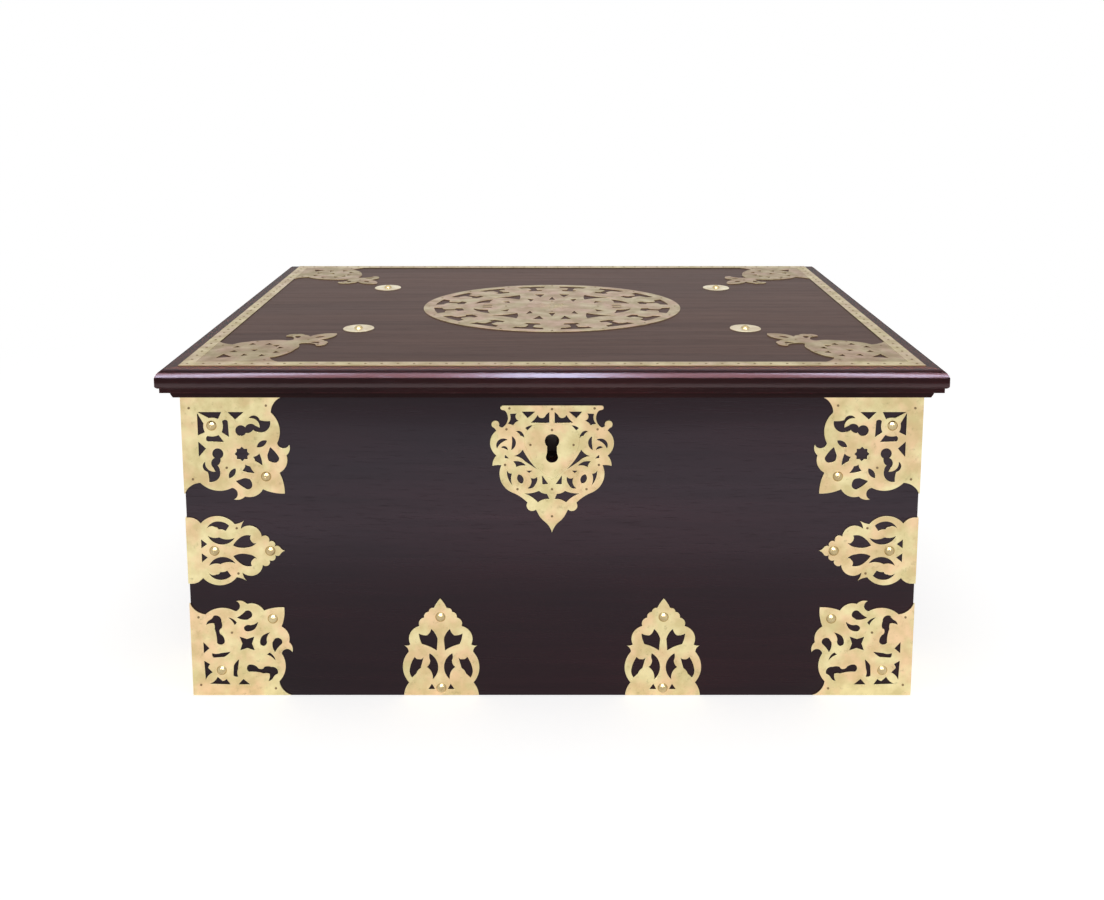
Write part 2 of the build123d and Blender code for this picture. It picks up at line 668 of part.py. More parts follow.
for which in ("front", "left", "right"):
    parts[f"lid_{which}_moulding"] = edge_run(moulding_profile(), which) & mitre_area(which, moulding_width, 0)
    parts[f"lid_{which}_lip"] = edge_run(lip_profile(), which) & mitre_area(which, moulding_width, 0)

panel_x = nose_x - moulding_width
panel_front_y = nose_y + moulding_width
lid_panel = block((-panel_x, panel_x), (panel_front_y, back_y), (lid_bottom, lid_top))

batten_y = (inner_front_y + batten_end_gap, inner_back_y - batten_end_gap)
for side_name, side in (("left", -1), ("right", 1)):
    batten_x = side * (inner_x - batten_inset)
    batten = block(
        (batten_x - batten_width / 2, batten_x + batten_width / 2), batten_y,
        (lid_bottom - batten_thickness, lid_bottom),
    )
    lower = batten.edges().filter_by(Axis.Y).sort_by(Axis.Z)[:2]
    parts[f"lid_{side_name}_batten"] = chamfer(lower, batten_ease)

def border_strip(which):
    """One strip of the brass border, mitred at its corners."""
    w = strip_width
    x, y0, y1 = strip_x, strip_front_y, strip_back_y
    plans = {
        "front": [(-x, y0), (x, y0), (x - w, y0 + w), (-x + w, y0 + w)],
        "back": [(-x, y1), (-x + w, y1 - w), (x - w, y1 - w), (x, y1)],
        "left": [(-x, y0), (-x + w, y0 + w), (-x + w, y1 - w), (-x, y1)],
        "right": [(x, y0), (x, y1), (x - w, y1 - w), (x - w, y0 + w)],
    }
    face = make_face(Polyline(plans[which], close=True))
    return Pos(0, 0, lid_top) * extrude(face, amount=lid_sheet, dir=(0, 0, 1))


for which in ("front", "back", "left", "right"):
    parts[f"lid_{which}_strip"] = border_strip(which)

lid_corner = Pos(-strip_x, strip_front_y, lid_top) * lid_corner_plate()
lid_mid_plane = Plane.XZ.offset(-lid_mid_y)
for side_name in ("left", "right"):
    plate = lid_corner if side_name == "left" else mirror(lid_corner, about=Plane.YZ)
    parts[f"lid_front_{side_name}_mount"] = plate
    parts[f"lid_back_{side_name}_mount"] = mirror(plate, about=lid_mid_plane)

parts["lid_medallion"] = Pos(0, lid_mid_y, lid_top) * medallion_plate()

rosette_places = [(x, lid_mid_y + y) for x in (-rosette_x, rosette_x) for y in (-rosette_y, rosette_y)]
rosette = turned([
    (nail_hole, 0), (rosette_radius, 0), (rosette_radius, lid_sheet * 0.6, 0.2),
    (rosette_radius - 1.5, lid_sheet), (nail_hole, lid_sheet),
])
parts["lid_rosettes"] = Compound([Pos(x, y, lid_top) * rosette for x, y in rosette_places])
parts["lid_nails"] = Compound([Pos(x, y, lid_top + lid_sheet) * nail for x, y in rosette_places])
lid_panel -= [drill((x, y, lid_top), (0, 0, -1), nail_hole, nail_length) for x, y in rosette_places]


def spaced(start, end):
    """Values from one to another, about a pin pitch apart."""
    steps = round((end - start) / pin_pitch)
    return [start + (end - start) * index / steps for index in range(steps + 1)]


pin_line = strip_width / 2
lid_pin_places = []
for x in spaced(-strip_x + pin_line, strip_x - pin_line):
    lid_pin_places += [(x, strip_front_y + pin_line), (x, strip_back_y - pin_line)]
for y in spaced(strip_front_y + pin_line, strip_back_y - pin_line)[1:-1]:
    lid_pin_places += [(-strip_x + pin_line, y), (strip_x - pin_line, y)]
for x, y in lid_corner_pins:
    for side in (-1, 1):
        lid_pin_places += [(side * (strip_x - x), strip_front_y + y), (side * (strip_x - x), strip_back_y - y)]
for across, along in medallion_pins:
    x, y = on_oval(across, along)[:2]
    lid_pin_places.append((x, lid_mid_y + y))
parts["lid_pins"] = Compound([pin((x, y, lid_top), (0, 0, 1), lid_sheet) for x, y in lid_pin_places])

# ---------------------------------------------------------------- hinges

stop_bevel = radians((lid_open_angle + stop_free_angle) / 2)
barrel_length = hinge_length - 2 * stop_length
knuckle_pitch = barrel_length / knuckle_count
half_gap = hinge_leaf_gap / 2
stop_fall = stop_reach * tan(stop_bevel)
leaf_front_y = back_y - hinge_leaf_depth
leaf_screw_x = [(index - (hinge_screws_per_leaf - 1) / 2) * hinge_screw_pitch for index in range(hinge_screws_per_leaf)]
leaf_screw_y = back_y - hinge_screw_inset


def hinge_leaf(first_knuckle):
    """The lower leaf, centred on x = 0, carrying every second knuckle from the first one given."""
    x0, x1 = -hinge_length / 2, hinge_length / 2
    leaf = block((x0, x1), (leaf_front_y, back_y - knuckle_wood_gap), (pin_z - hinge_leaf_thickness, pin_z - half_gap))
    for index in range(first_knuckle, knuckle_count, 2):
        start = -barrel_length / 2 + index * knuckle_pitch + knuckle_end_gap / 2
        end = start + knuckle_pitch - knuckle_end_gap
        leaf += rod((start, pin_y, pin_z), (end, pin_y, pin_z), knuckle_radius)
        leaf += block((start, end), (back_y - 1, pin_y), (pin_z - hinge_leaf_thickness, pin_z - half_gap))
    # stops beyond the barrel: their bevels meet when the lid stands open
    behind = knuckle_wood_gap + knuckle_radius
    stop = make_face(Polyline([
        (-behind - 1, -half_gap), (-half_gap, -half_gap), (stop_reach, -half_gap - stop_fall), (stop_reach, -stop_drop),
        (-knuckle_radius, -stop_drop), (-knuckle_radius, -hinge_leaf_thickness), (-behind - 1, -hinge_leaf_thickness),
    ], close=True))
    for start in (x0, x1 - stop_length + knuckle_end_gap):
        plane = Plane(origin=(start, pin_y, pin_z), x_dir=(0, 1, 0), z_dir=(1, 0, 0))
        leaf += plane * extrude(stop, amount=stop_length - knuckle_end_gap, dir=(0, 0, 1))
    leaf -= rod((x0 + stop_length, pin_y, pin_z), (x1 - stop_length, pin_y, pin_z), hinge_pin_radius + hinge_pin_fit)
    for x in leaf_screw_x:
        leaf -= rod((x, leaf_screw_y, pin_z), (x, leaf_screw_y, pin_z - hinge_leaf_thickness), screw_hole)
    return leaf


screw_hole = screw_shank_radius + screw_fit
hinge_floor = pin_z - hinge_leaf_thickness
hinge_roof = pin_z + hinge_leaf_thickness


def flush_fastener():
    """A screw whose head fills its countersink: flush at zero, point below."""
    point = Solid.make_cone(0, screw_shank_radius, fastener_point, Plane(origin=(0, 0, -screw_length)))
    return rod((0, 0, fastener_point - screw_length), (0, 0, 0), screw_shank_radius) + point


lower_leaf = hinge_leaf(0)
upper_leaf = mirror(hinge_leaf(1), about=Plane.XY.offset(pin_z))
flush_screw = flush_fastener()
box_hinge_screws = []
lid_screws = []
for side_name, side in (("left", -1), ("right", 1)):
    centre = side * hinge_offset
    parts[f"{side_name}_hinge_lower_leaf"] = Pos(centre, 0, 0) * lower_leaf
    parts[f"{side_name}_hinge_upper_leaf"] = Pos(centre, 0, 0) * upper_leaf
    parts[f"{side_name}_hinge_pin"] = rod(
        (centre - barrel_length / 2, pin_y, pin_z), (centre + barrel_length / 2, pin_y, pin_z), hinge_pin_radius
    )
    leaf_x = (centre - hinge_length / 2, centre + hinge_length / 2)
    back_board -= block(leaf_x, (leaf_front_y, back_y), (hinge_floor, body_height))
    lid_panel -= block(leaf_x, (leaf_front_y, back_y), (lid_bottom, hinge_roof))
    for x in leaf_screw_x:
        low = (centre + x, leaf_screw_y, pin_z - half_gap)
        high = (centre + x, leaf_screw_y, pin_z + half_gap)
        box_hinge_screws.append(Pos(*low) * flush_screw)
        lid_screws.append(Pos(*high) * Rot(180, 0, 0) * flush_screw)
        back_board -= drill(low, (0, 0, -1), screw_hole, screw_length)
        lid_panel -= drill(high, (0, 0, 1), screw_hole, screw_length)
parts["box_hinge_screws"] = Compound(box_hinge_screws)

# ---------------------------------------------------------------- lock

lock_bottom = lock_top - lock_height
lock_x = (-lock_width / 2, lock_width / 2)
lock_back_y = inner_front_y + lock_depth
bar_top = body_height - bolt_bar_drop
bar_z = (bar_top - bolt_bar_height, bar_top)
bolt_y = (lock_mid_y - bolt_thickness / 2, lock_mid_y + bolt_thickness / 2)
eye_z = lid_bottom - staple_drop + (staple_drop - link_plate_thickness) / 2 - 1
prong_z = (eye_z - bolt_prong_height / 2, eye_z + bolt_prong_height / 2)
staple_places = (-staple_offset, staple_offset)
lock_screw_places = [
    (x, z)
    for x in (lock_x[0] - lock_flange / 2, lock_x[1] + lock_flange / 2)
    for z in (lock_bottom + lock_flange, lock_top - lock_flange)
]


def lock_case():
    """A tray that opens towards the front board, with a flange on each side and two slots on top."""
    case = block(lock_x, (inner_front_y, lock_back_y), (lock_bottom, lock_top))
    case -= block(
        (lock_x[0] + lock_wall, lock_x[1] - lock_wall), (inner_front_y, lock_back_y - lock_wall),
        (lock_bottom + lock_wall, lock_top - lock_wall),
    )
    flange_x = (lock_x[0] - lock_flange, lock_x[1] + lock_flange)
    flange = block(flange_x, (inner_front_y, inner_front_y + lock_wall), (lock_bottom, lock_top))
    flange -= block(lock_x, (inner_front_y, inner_front_y + lock_wall), (lock_bottom, lock_top))
    case += flange
    for x in staple_places:
        half_x = staple_thickness / 2 + staple_slot_gap
        half_y = staple_width / 2 + staple_slot_gap
        case -= block((x - half_x, x + half_x), (lock_mid_y - half_y, lock_mid_y + half_y), (lock_top - lock_wall, lock_top))
    # ledges on the back wall carry the bolt bar and keep it down
    ledge_y = (bolt_y[0], lock_back_y - lock_wall)
    for x in (-bolt_bar_length / 2 + 6, bolt_bar_length / 2 - 6):
        case += block(
            (x - ledge_reach, x + ledge_reach), ledge_y,
            (bar_z[0] - bolt_guide_gap - ledge_thickness, bar_z[0] - bolt_guide_gap),
        )
    crest_x = backspring_x + backspring_foot + backspring_reach
    crest_z = bar_z[1] + backspring_rise + backspring_fit
    crest_ledge_x = (crest_x - crest_ledge_spare, crest_x + bolt_throw + crest_ledge_spare)
    case += block(crest_ledge_x, ledge_y, (crest_z, crest_z + ledge_thickness))
    for x, z in lock_screw_places:
        case -= rod((x, inner_front_y, z), (x, inner_front_y + lock_wall, z), screw_hole)
    return case


def lock_bolt():
    """A bar with two prongs that slide through the staples' eyes, at rest in the unlocked place."""
    half = bolt_bar_length / 2
    bolt = block((-half, half), bolt_y, bar_z)
    bolt -= block((-talon_width / 2, talon_width / 2), bolt_y, (bar_z[0], bar_z[0] + talon_depth))
    for x in staple_places:
        tip = x - staple_thickness / 2 - staple_side_gap
        prong_start = tip - bolt_throw - 1
        bolt += block((prong_start - riser_width, prong_start), bolt_y, (bar_z[1] - 1, prong_z[1]))
        bolt += block((prong_start - 1, tip), bolt_y, prong_z)
    return bolt


def backspring():
    """A bowed strip fixed to the bolt bar: its crest presses up under a ledge of the case."""
    t = backspring_thickness
    foot = bar_z[1]
    bend = backspring_x + backspring_foot
    crest = bend + backspring_reach
    strip = Face(closed([
        (backspring_x, foot), (backspring_x, foot + t), (bend, foot + t, -0.12), (crest, foot + backspring_rise),
        (crest, foot + backspring_rise - t, 0.12), (bend + t / 2, foot),
    ]))
    plane = Plane(origin=(0, bolt_y[1], 0), x_dir=(1, 0, 0), z_dir=(0, -1, 0))
    return extrude(plane * strip, amount=bolt_thickness, dir=(0, -1, 0))


def link_plate():
    """The plate under the lid, with its two staples."""
    plate = block(
        (-link_plate_width / 2, link_plate_width / 2),
        (lock_mid_y - link_plate_depth / 2, lock_mid_y + link_plate_depth / 2),
        (lid_bottom - link_plate_thickness, lid_bottom),
    )
    for x in staple_places:
        half = staple_thickness / 2
        shank = block(
            (x - half, x + half), (lock_mid_y - staple_width / 2, lock_mid_y + staple_width / 2),
            (lid_bottom - staple_drop, lid_bottom - link_plate_thickness),
        )
        plate += shank
        plate -= block(
            (x - half, x + half), (lock_mid_y - staple_eye_width / 2, lock_mid_y + staple_eye_width / 2),
            (eye_z - staple_eye_height / 2, eye_z + staple_eye_height / 2),
        )
    for x in (-link_screw_offset, link_screw_offset):
        plate -= rod((x, lock_mid_y, lid_bottom), (x, lock_mid_y, lid_bottom - link_plate_thickness), screw_hole)
    return plate


parts["lock_case"] = lock_case()
parts["lock_bolt"] = lock_bolt()
parts["lock_backspring"] = backspring()
parts["lock_key_post"] = rod((0, lock_back_y - lock_wall, keyhole_z), (0, inner_front_y + 2, keyhole_z), key_post_radius)
parts["lock_link_plate"] = link_plate()
screw = fastener(screw_head_radius, screw_head_height, screw_shank_radius, screw_length)
lock_screws = []
for x, z in lock_screw_places:
    seat = (x, inner_front_y + lock_wall, z)
    lock_screws.append(placed_fastener(screw, seat, (0, 1, 0), 0))
    front_board -= drill((x, inner_front_y, z), (0, -1, 0), screw_hole, screw_length)
parts["lock_screws"] = Compound(lock_screws)
for x in (-link_screw_offset, link_screw_offset):
    lid_screws.append(Pos(x, lock_mid_y, lid_bottom - link_plate_thickness) * Rot(180, 0, 0) * flush_screw)
    lid_panel -= drill((x, lock_mid_y, lid_bottom), (0, 0, 1), screw_hole, screw_length)
parts["lid_screws"] = Compound(lid_screws)

# ---------------------------------------------------------------- drop handles

handle_y = (front_y + back_y) / 2
pivot_x = side_x + sheet + handle_reach
post_places = (handle_y - handle_span / 2, handle_y + handle_span / 2)


def handle_plate():
    """The plate behind a handle: x along the end board, y up, from its centre."""
    length, height = handle_plate_length / 2, handle_plate_height / 2
    post = handle_span / 2
    half = [
        (0, -height * 0.62, 0), (10, -height * 0.62, -0.25), (post - 20, -height * 0.72, 0.3), (post + 16, -height * 0.5, 0.12),
        (length - 6, -6, -0.2), (length, 0, -0.2), (length - 6, 6, 0.12), (post + 16, height * 0.5, 0.3),
        (post - 20, height * 0.72, -0.25), (10, height * 0.62), (0, height * 0.62),
    ]
    leaves = []
    for reach in (8.0, 24.0):
        leaves.append(closed([(reach, -7, 0.25), (reach + 8, 0, 0.25), (reach, 7, 0.0), (reach - 3, 0, 0.0)]))
    holes = with_mirror([leaves[0]], UPRIGHT)
    bores = [round_hole(place, 0, post_shank_radius + post_fit) for place in (-post, post)]
    return pierced_plate(mirrored_outline(half, UPRIGHT), holes + bores, sheet)


def handle_post():
    """Turned base and neck with a bored eye, and a threaded shank behind; outwards is +Z."""
    base = turned([
        (0, -board_thickness - sheet - nut_thickness - shank_past_nut), (post_shank_radius, -board_thickness - sheet - nut_thickness - shank_past_nut),
        (post_shank_radius, 0), (post_base_radius, 0, 0.1), (post_base_radius - 2, post_base_height * 0.6, 0.15),
        (post_neck_radius, post_base_height, -0.1), (post_neck_radius, handle_reach), (0, handle_reach),
    ])
    eye = rod((-post_eye_length / 2, 0, handle_reach), (post_eye_length / 2, 0, handle_reach), post_eye_radius)
    bore = rod((-post_eye_length / 2, 0, handle_reach), (post_eye_length / 2, 0, handle_reach), pivot_radius + pivot_fit)
    return base + eye - bore


def bail(side):
    """A bent rod: pivots turned in through the posts' eyes, arms, and a level grip."""
    arm = handle_span / 2 + post_eye_length / 2 + arm_side_gap + grip_radius
    inner = handle_span / 2 - post_eye_length / 2
    route = FilletPolyline(
        (0, -arm, 0), (0, -arm, -handle_drop), (0, arm, -handle_drop), (0, arm, 0), radius=bail_corner_radius
    )
    section = Plane(origin=(0, -arm, 0), z_dir=(0, 0, -1)) * Circle(grip_radius)
    loop = sweep(section, path=route)
    for end in (-1, 1):
        loop += Pos(0, end * arm, 0) * Sphere(grip_radius)
        loop += rod((0, end * arm, 0), (0, end * inner, 0), pivot_radius)
    return Pos(side * pivot_x, handle_y, handle_height) * loop


post = handle_post()
nut_blank = extrude(RegularPolygon(nut_radius, 6), amount=nut_thickness, dir=(0, 0, 1))
nut = nut_blank - rod((0, 0, 0), (0, 0, nut_thickness), post_shank_radius + post_fit)
nuts = []
for side_name, side in (("left", -1), ("right", 1)):
    outward = (side, 0, 0)
    along = Plane(origin=(side * side_x, handle_y, handle_height), x_dir=(0, side, 0), z_dir=outward)
    parts[f"{side_name}_handle_plate"] = along * handle_plate()
    posts = []
    for y in post_places:
        seat = Plane(origin=(side * (side_x + sheet), y, handle_height), x_dir=(0, side, 0), z_dir=outward)
        posts.append(seat * post)
        nuts.append(Plane(origin=(side * inner_x, y, handle_height), z_dir=(-side, 0, 0)) * nut)
        bore = rod((side * side_x, y, handle_height), (side * inner_x, y, handle_height), post_shank_radius + post_fit)
        if side < 0:
            left_end -= bore
        else:
            right_end -= bore
    parts[f"{side_name}_handle_posts"] = Compound(posts)
    parts[f"{side_name}_handle_bail"] = bail(side)
parts["handle_nuts"] = Compound(nuts)

parts["front_board"] = front_board
parts["back_board"] = back_board
parts["left_end_board"] = left_end
parts["right_end_board"] = right_end
parts["lid_panel"] = lid_panel

# ---------------------------------------------------------------- write the parts

os.makedirs("parts", exist_ok=True)
for name, part in parts.items():
    export_step(part, f"parts/{name}.step")
print(f"{len(parts)} nodes, overall depth {overall_depth:.1f}, pin at y {pin_y:.2f}, lid middle y {lid_mid_y:.2f}")
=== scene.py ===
# %% [markdown]
# A dowry chest is a plain box of dark, polished wood that a metalworker dresses with pierced sheet brass.
# Its solids come ready made, in metres, with the middle of the footprint at the origin and the front facing
# -Y. This script gives them their finish: eased edges, engraving, slotted screws, wood, brass and iron. We
# load the solids first. Nothing that we add may make the chest larger.

# %% Load the chest's solids
import json
import math
import bmesh
import bpy
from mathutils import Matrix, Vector

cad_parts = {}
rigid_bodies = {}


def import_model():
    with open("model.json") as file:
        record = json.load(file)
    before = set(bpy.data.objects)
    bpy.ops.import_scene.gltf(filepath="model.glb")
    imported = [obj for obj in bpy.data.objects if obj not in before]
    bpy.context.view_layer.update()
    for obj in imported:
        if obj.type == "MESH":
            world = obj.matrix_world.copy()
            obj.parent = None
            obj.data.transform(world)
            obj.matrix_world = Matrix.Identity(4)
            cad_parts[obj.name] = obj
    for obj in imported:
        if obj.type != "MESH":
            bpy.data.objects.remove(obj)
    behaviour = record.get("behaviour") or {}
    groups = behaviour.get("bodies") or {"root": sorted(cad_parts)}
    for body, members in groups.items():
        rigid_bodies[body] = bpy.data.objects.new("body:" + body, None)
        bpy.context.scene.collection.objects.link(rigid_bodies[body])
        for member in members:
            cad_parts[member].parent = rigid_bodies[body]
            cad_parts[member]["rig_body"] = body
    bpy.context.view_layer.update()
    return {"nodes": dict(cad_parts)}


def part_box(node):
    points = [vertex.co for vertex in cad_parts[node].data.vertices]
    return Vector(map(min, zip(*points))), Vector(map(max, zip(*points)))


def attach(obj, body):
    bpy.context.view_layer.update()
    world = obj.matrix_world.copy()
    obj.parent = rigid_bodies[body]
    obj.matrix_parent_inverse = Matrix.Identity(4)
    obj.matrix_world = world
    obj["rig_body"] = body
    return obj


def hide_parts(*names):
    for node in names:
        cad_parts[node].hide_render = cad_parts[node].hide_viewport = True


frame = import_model()
nodes = frame["nodes"]

# %% [markdown]
# A Blender operator works on whatever is selected, and after loading, every solid is. So each step below
# first clears the selection and picks the one piece that it is about. Edges are picked in code, by where
# they are, the way one would click them by hand. Beveling the picked edges and smoothing by angle are the
# two steps that follow each time.

# %% Small helpers for selecting, beveling and smoothing
def only(piece):
    if bpy.context.mode != "OBJECT":
        bpy.ops.object.mode_set(mode="OBJECT")
    bpy.ops.object.select_all(action="DESELECT")
    piece.select_set(True)
    bpy.context.view_layer.objects.active = piece


def pick_edges(piece, wanted):
    """Goes into edit mode with just the edges selected for which wanted(edge) is true, and says how many."""
    only(piece)
    bpy.ops.object.mode_set(mode="EDIT")
    bpy.ops.mesh.select_mode(type="EDGE")
    bpy.ops.mesh.select_all(action="DESELECT")
    shape = bmesh.from_edit_mesh(piece.data)
    for edge in shape.edges:
        edge.select_set(wanted(edge))
    bmesh.update_edit_mesh(piece.data)
    return sum(edge.select for edge in shape.edges)


def bevel_picked(width, segments, clamp):
    bpy.ops.mesh.bevel(offset=width, segments=segments, affect="EDGES", clamp_overlap=clamp)
    bpy.ops.object.mode_set(mode="OBJECT")


def smooth_below(degrees):
    """Blends the shading of the selected piece over every edge that turns by less than this."""
    bpy.ops.object.shade_smooth_by_angle(angle=math.radians(degrees))


# %% [markdown]
# To refine a solid we work on a copy of its mesh, which then stands for it. A solid arrives as loose
# triangles, so the copy is merged first; only then does an edge know the two faces that it joins, which
# beveling needs.

# %% Copy a solid's mesh for finer work
merge_distance = 0.000002


def copied_from(node, name):
    solid = nodes[node]
    piece = bpy.data.objects.new(name, solid.data.copy())
    bpy.context.collection.objects.link(piece)
    piece.data.materials.clear()
    only(piece)
    bpy.ops.mesh.customdata_custom_splitnormals_clear()
    bpy.ops.object.mode_set(mode="EDIT")
    bpy.ops.mesh.select_all(action="SELECT")
    bpy.ops.mesh.remove_doubles(threshold=merge_distance)
    bpy.ops.object.mode_set(mode="OBJECT")
    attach(piece, solid["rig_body"])
    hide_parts(node)
    return piece


# %% [markdown]
# The mounts are sawn from sheet brass with a piercing saw. The saw leaves a sharp arris, which the maker
# takes off with a file, so that hands and cloth don't catch on it. That narrow chamfer is what glints round
# every hole. We bevel only the edges that lie on the outer skin of each plate; the back, flat on the wood,
# stays as it is. The chamfer is kept small, because some holes nearly touch, and a wide one would fold the
# thin triangles between them over.

# %% File the arrises of the pierced mounts
chamfer = 0.0003
arris_angle = math.radians(40)
plate_smoothing = 35
close = 0.00001                 # nearer than this counts as touching
skin_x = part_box("top_right_mount")[1].x
skin_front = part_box("escutcheon")[0].y
skin_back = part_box("rear_left_mounts")[1].y
skin_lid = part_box("lid_medallion")[1].z


def on_skin(point):
    flush = [abs(point.x) - skin_x, point.y - skin_front, point.y - skin_back, point.z - skin_lid]
    return min(abs(gap) for gap in flush) < close


def sharp_on_skin(edge):
    if len(edge.link_faces) != 2 or edge.calc_face_angle(0) < arris_angle:
        return False
    return all(on_skin(vertex.co) for vertex in edge.verts)


def filed(node):
    plate = copied_from(node, node + "_sheet")
    count = pick_edges(plate, sharp_on_skin)
    bevel_picked(chamfer, 1, False)
    smooth_below(plate_smoothing)
    print(node, "edges filed:", count)
    return plate


sides = ("left", "right")
box_sheets = [row + side + "_mount" for row in ("top_", "middle_", "bottom_") for side in sides]
box_sheets += ["left_base_mount", "right_base_mount", "escutcheon", "rear_left_mounts", "rear_right_mounts"]
box_sheets += ["left_handle_plate", "right_handle_plate"]
lid_sheets = ["lid_" + end + side + "_mount" for end in ("front_", "back_") for side in sides]
lid_sheets += ["lid_" + side + "_strip" for side in ("front", "back", "left", "right")]
lid_sheets += ["lid_medallion"]
box_plates = [filed(node) for node in box_sheets]
lid_plates = [filed(node) for node in lid_sheets]

# %% [markdown]
# The joiner eases the long edges of the boards with a few strokes of a plane before polishing. A perfectly
# sharp edge has no width, so it never catches the light and looks like paper. We bevel the twelve edges of
# each board's own box and leave its holes and grooves alone.

# %% Ease the edges of the boards
board_easing = 0.0008
batten_easing = 0.0012
square_angle = math.radians(60)
board_smoothing = 50


def on_box_edge(point, low, high):
    ends = [min(abs(point[axis] - low[axis]), abs(point[axis] - high[axis])) < close for axis in range(3)]
    return sum(ends) >= 2


def eased(node, width):
    low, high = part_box(node)
    board = copied_from(node, node + "_eased")

    def along_the_box(edge):
        sharp = len(edge.link_faces) == 2 and edge.calc_face_angle(0) > square_angle
        return sharp and all(on_box_edge(vertex.co, low, high) for vertex in edge.verts)

    count = pick_edges(board, along_the_box)
    bevel_picked(width, 2, True)
    smooth_below(board_smoothing)
    print(node, "edges eased:", count)
    return board


front_board, back_board, bottom_board = [
    eased(place + "_board", board_easing) for place in ("front", "back", "bottom")
]
end_boards = [eased(side + "_end_board", board_easing) for side in sides]
battens = [eased("lid_" + side + "_batten", batten_easing) for side in sides]

# %% [markdown]
# The moulding is planed from one length and mitred at the corners, like a picture frame. Its round nose must
# shade as a curve, so we smooth it by angle: steps smaller than the angle blend, larger ones stay crisp. A
# hair's breadth taken off the mitred edges leaves the fine line that a real mitre shows.

# %% Round the mouldings and mark their mitres
mitre_gap = 0.0003
mitre_angle = 0.7               # radians; the edges of a mitre turn by more than this
moulding_smoothing = 28
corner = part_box("lid_front_moulding")[0]
mitre_offset = abs(corner.x) - abs(corner.y)


def on_mitre(point):
    return point.y < 0 and abs(abs(point.x) + point.y - mitre_offset) < close


def sharp_on_mitre(edge):
    return edge.calc_face_angle(0) > mitre_angle and all(on_mitre(vertex.co) for vertex in edge.verts)


def run_of(node):
    run = copied_from(node, node + "_run")
    count = pick_edges(run, sharp_on_mitre)
    bevel_picked(mitre_gap, 1, True)
    smooth_below(moulding_smoothing)
    print(node, "mitre edges:", count)
    return run


front_moulding, front_lip = run_of("lid_front_moulding"), run_of("lid_front_lip")
left_moulding, left_lip, right_moulding, right_lip = [
    run_of("lid_" + side + part) for side in sides for part in ("_moulding", "_lip")
]

# %% [markdown]
# The metalworker also draws on the sheet with a graver: a heart round the keyhole, and a small flower in the
# middle of the medallion. A graver cuts a shallow round groove. We lay a thin tube along the drawing, half
# sunk in the sheet, and take it away from the plate with a Boolean, which leaves just such a groove.

# %% Tools for engraving
graver = 0.00045
cut_smoothing = 20


def drawn(name, runs):
    """A thin tube along closed runs of points. The curve passes smoothly through the points of each run."""
    line = bpy.data.curves.new(name, "CURVE")
    line.dimensions = "3D"
    line.bevel_depth = graver
    line.bevel_resolution = 1
    line.resolution_u = 6
    for points in runs:
        spline = line.splines.new("BEZIER")
        spline.bezier_points.add(len(points) - 1)
        for knot, (place, kind) in zip(spline.bezier_points, points):
            knot.co = place
            knot.handle_left_type = knot.handle_right_type = kind
        spline.use_cyclic_u = True
    tube = bpy.data.objects.new(name, line)
    bpy.context.collection.objects.link(tube)
    only(tube)
    bpy.ops.object.convert(target="MESH")
    return tube


def carved(plate, cutter):
    only(plate)
    cut = plate.modifiers.new("groove", "BOOLEAN")
    cut.object = cutter
    cut.operation = "DIFFERENCE"
    cut.solver = "EXACT"
    before = len(plate.data.polygons)
    bpy.ops.object.modifier_apply(modifier=cut.name)
    bpy.data.objects.remove(cutter)
    smooth_below(cut_smoothing)
    print(plate.name, "faces before and after carving:", before, len(plate.data.polygons))


# %% [markdown]
# The heart is drawn as half an outline, from its point up to the dip between its shoulders, and mirrored.
# Each point is told as how far it lies from the middle and how far below the top of the plate.

# %% Engrave the heart round the keyhole
heart_point, heart_dip = 0.100, 0.0285
heart_half = [(0.017, 0.086), (0.031, 0.064), (0.0355, 0.047), (0.030, 0.031), (0.017, 0.0255)]
plate_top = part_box("escutcheon")[1].z


def on_plate(across, drop, kind):
    return (across, skin_front, plate_top - drop), kind


heart = [on_plate(0, heart_point, "VECTOR")]
heart += [on_plate(across, drop, "AUTO") for across, drop in heart_half]
heart += [on_plate(0, heart_dip, "VECTOR")]
heart += [on_plate(-across, drop, "AUTO") for across, drop in reversed(heart_half)]
carved(box_plates[box_sheets.index("escutcheon")], drawn("heart_line", [heart]))

# %% [markdown]
# The flower has eight pointed petals. One petal runs out from its root to its tip and back, and swings to
# either side of its own middle line half way.

# %% Engrave the flower in the medallion
petal_count = 8
petal_root, petal_waist, petal_tip = 0.005, 0.015, 0.026
petal_swing = 16                # degrees to each side
petal_knots = [
    (petal_root, 0, "VECTOR"), (petal_waist, petal_swing, "AUTO"),
    (petal_tip, 0, "VECTOR"), (petal_waist, -petal_swing, "AUTO"),
]
medallion_low, medallion_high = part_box("lid_medallion")
medallion_y = (medallion_low.y + medallion_high.y) / 2
petals = []
for turn in range(petal_count):
    petal = []
    for reach, swing, kind in petal_knots:
        angle = math.radians(360 / petal_count * turn) + math.radians(swing)
        petal.append(((reach * math.cos(angle), medallion_y + reach * math.sin(angle), skin_lid), kind))
    petals.append(petal)
carved(lid_plates[lid_sheets.index("lid_medallion")], drawn("flower_line", petals))

# %% [markdown]
# Each screw has a slot for the turnscrew. The screws come as one group of separate solids, so we take the
# group apart, cut a slot across every head with a thin bar, turn each slot its own way as no joiner lines
# them up, and join them.

# %% Cut the slots of the screws
slot_width = 0.0009
slot_depth = 0.0009
bar_length = 0.012
bar_over = 0.0006               # how far the bar stands out of the head
first_turn, next_turn = 20, 37  # degrees


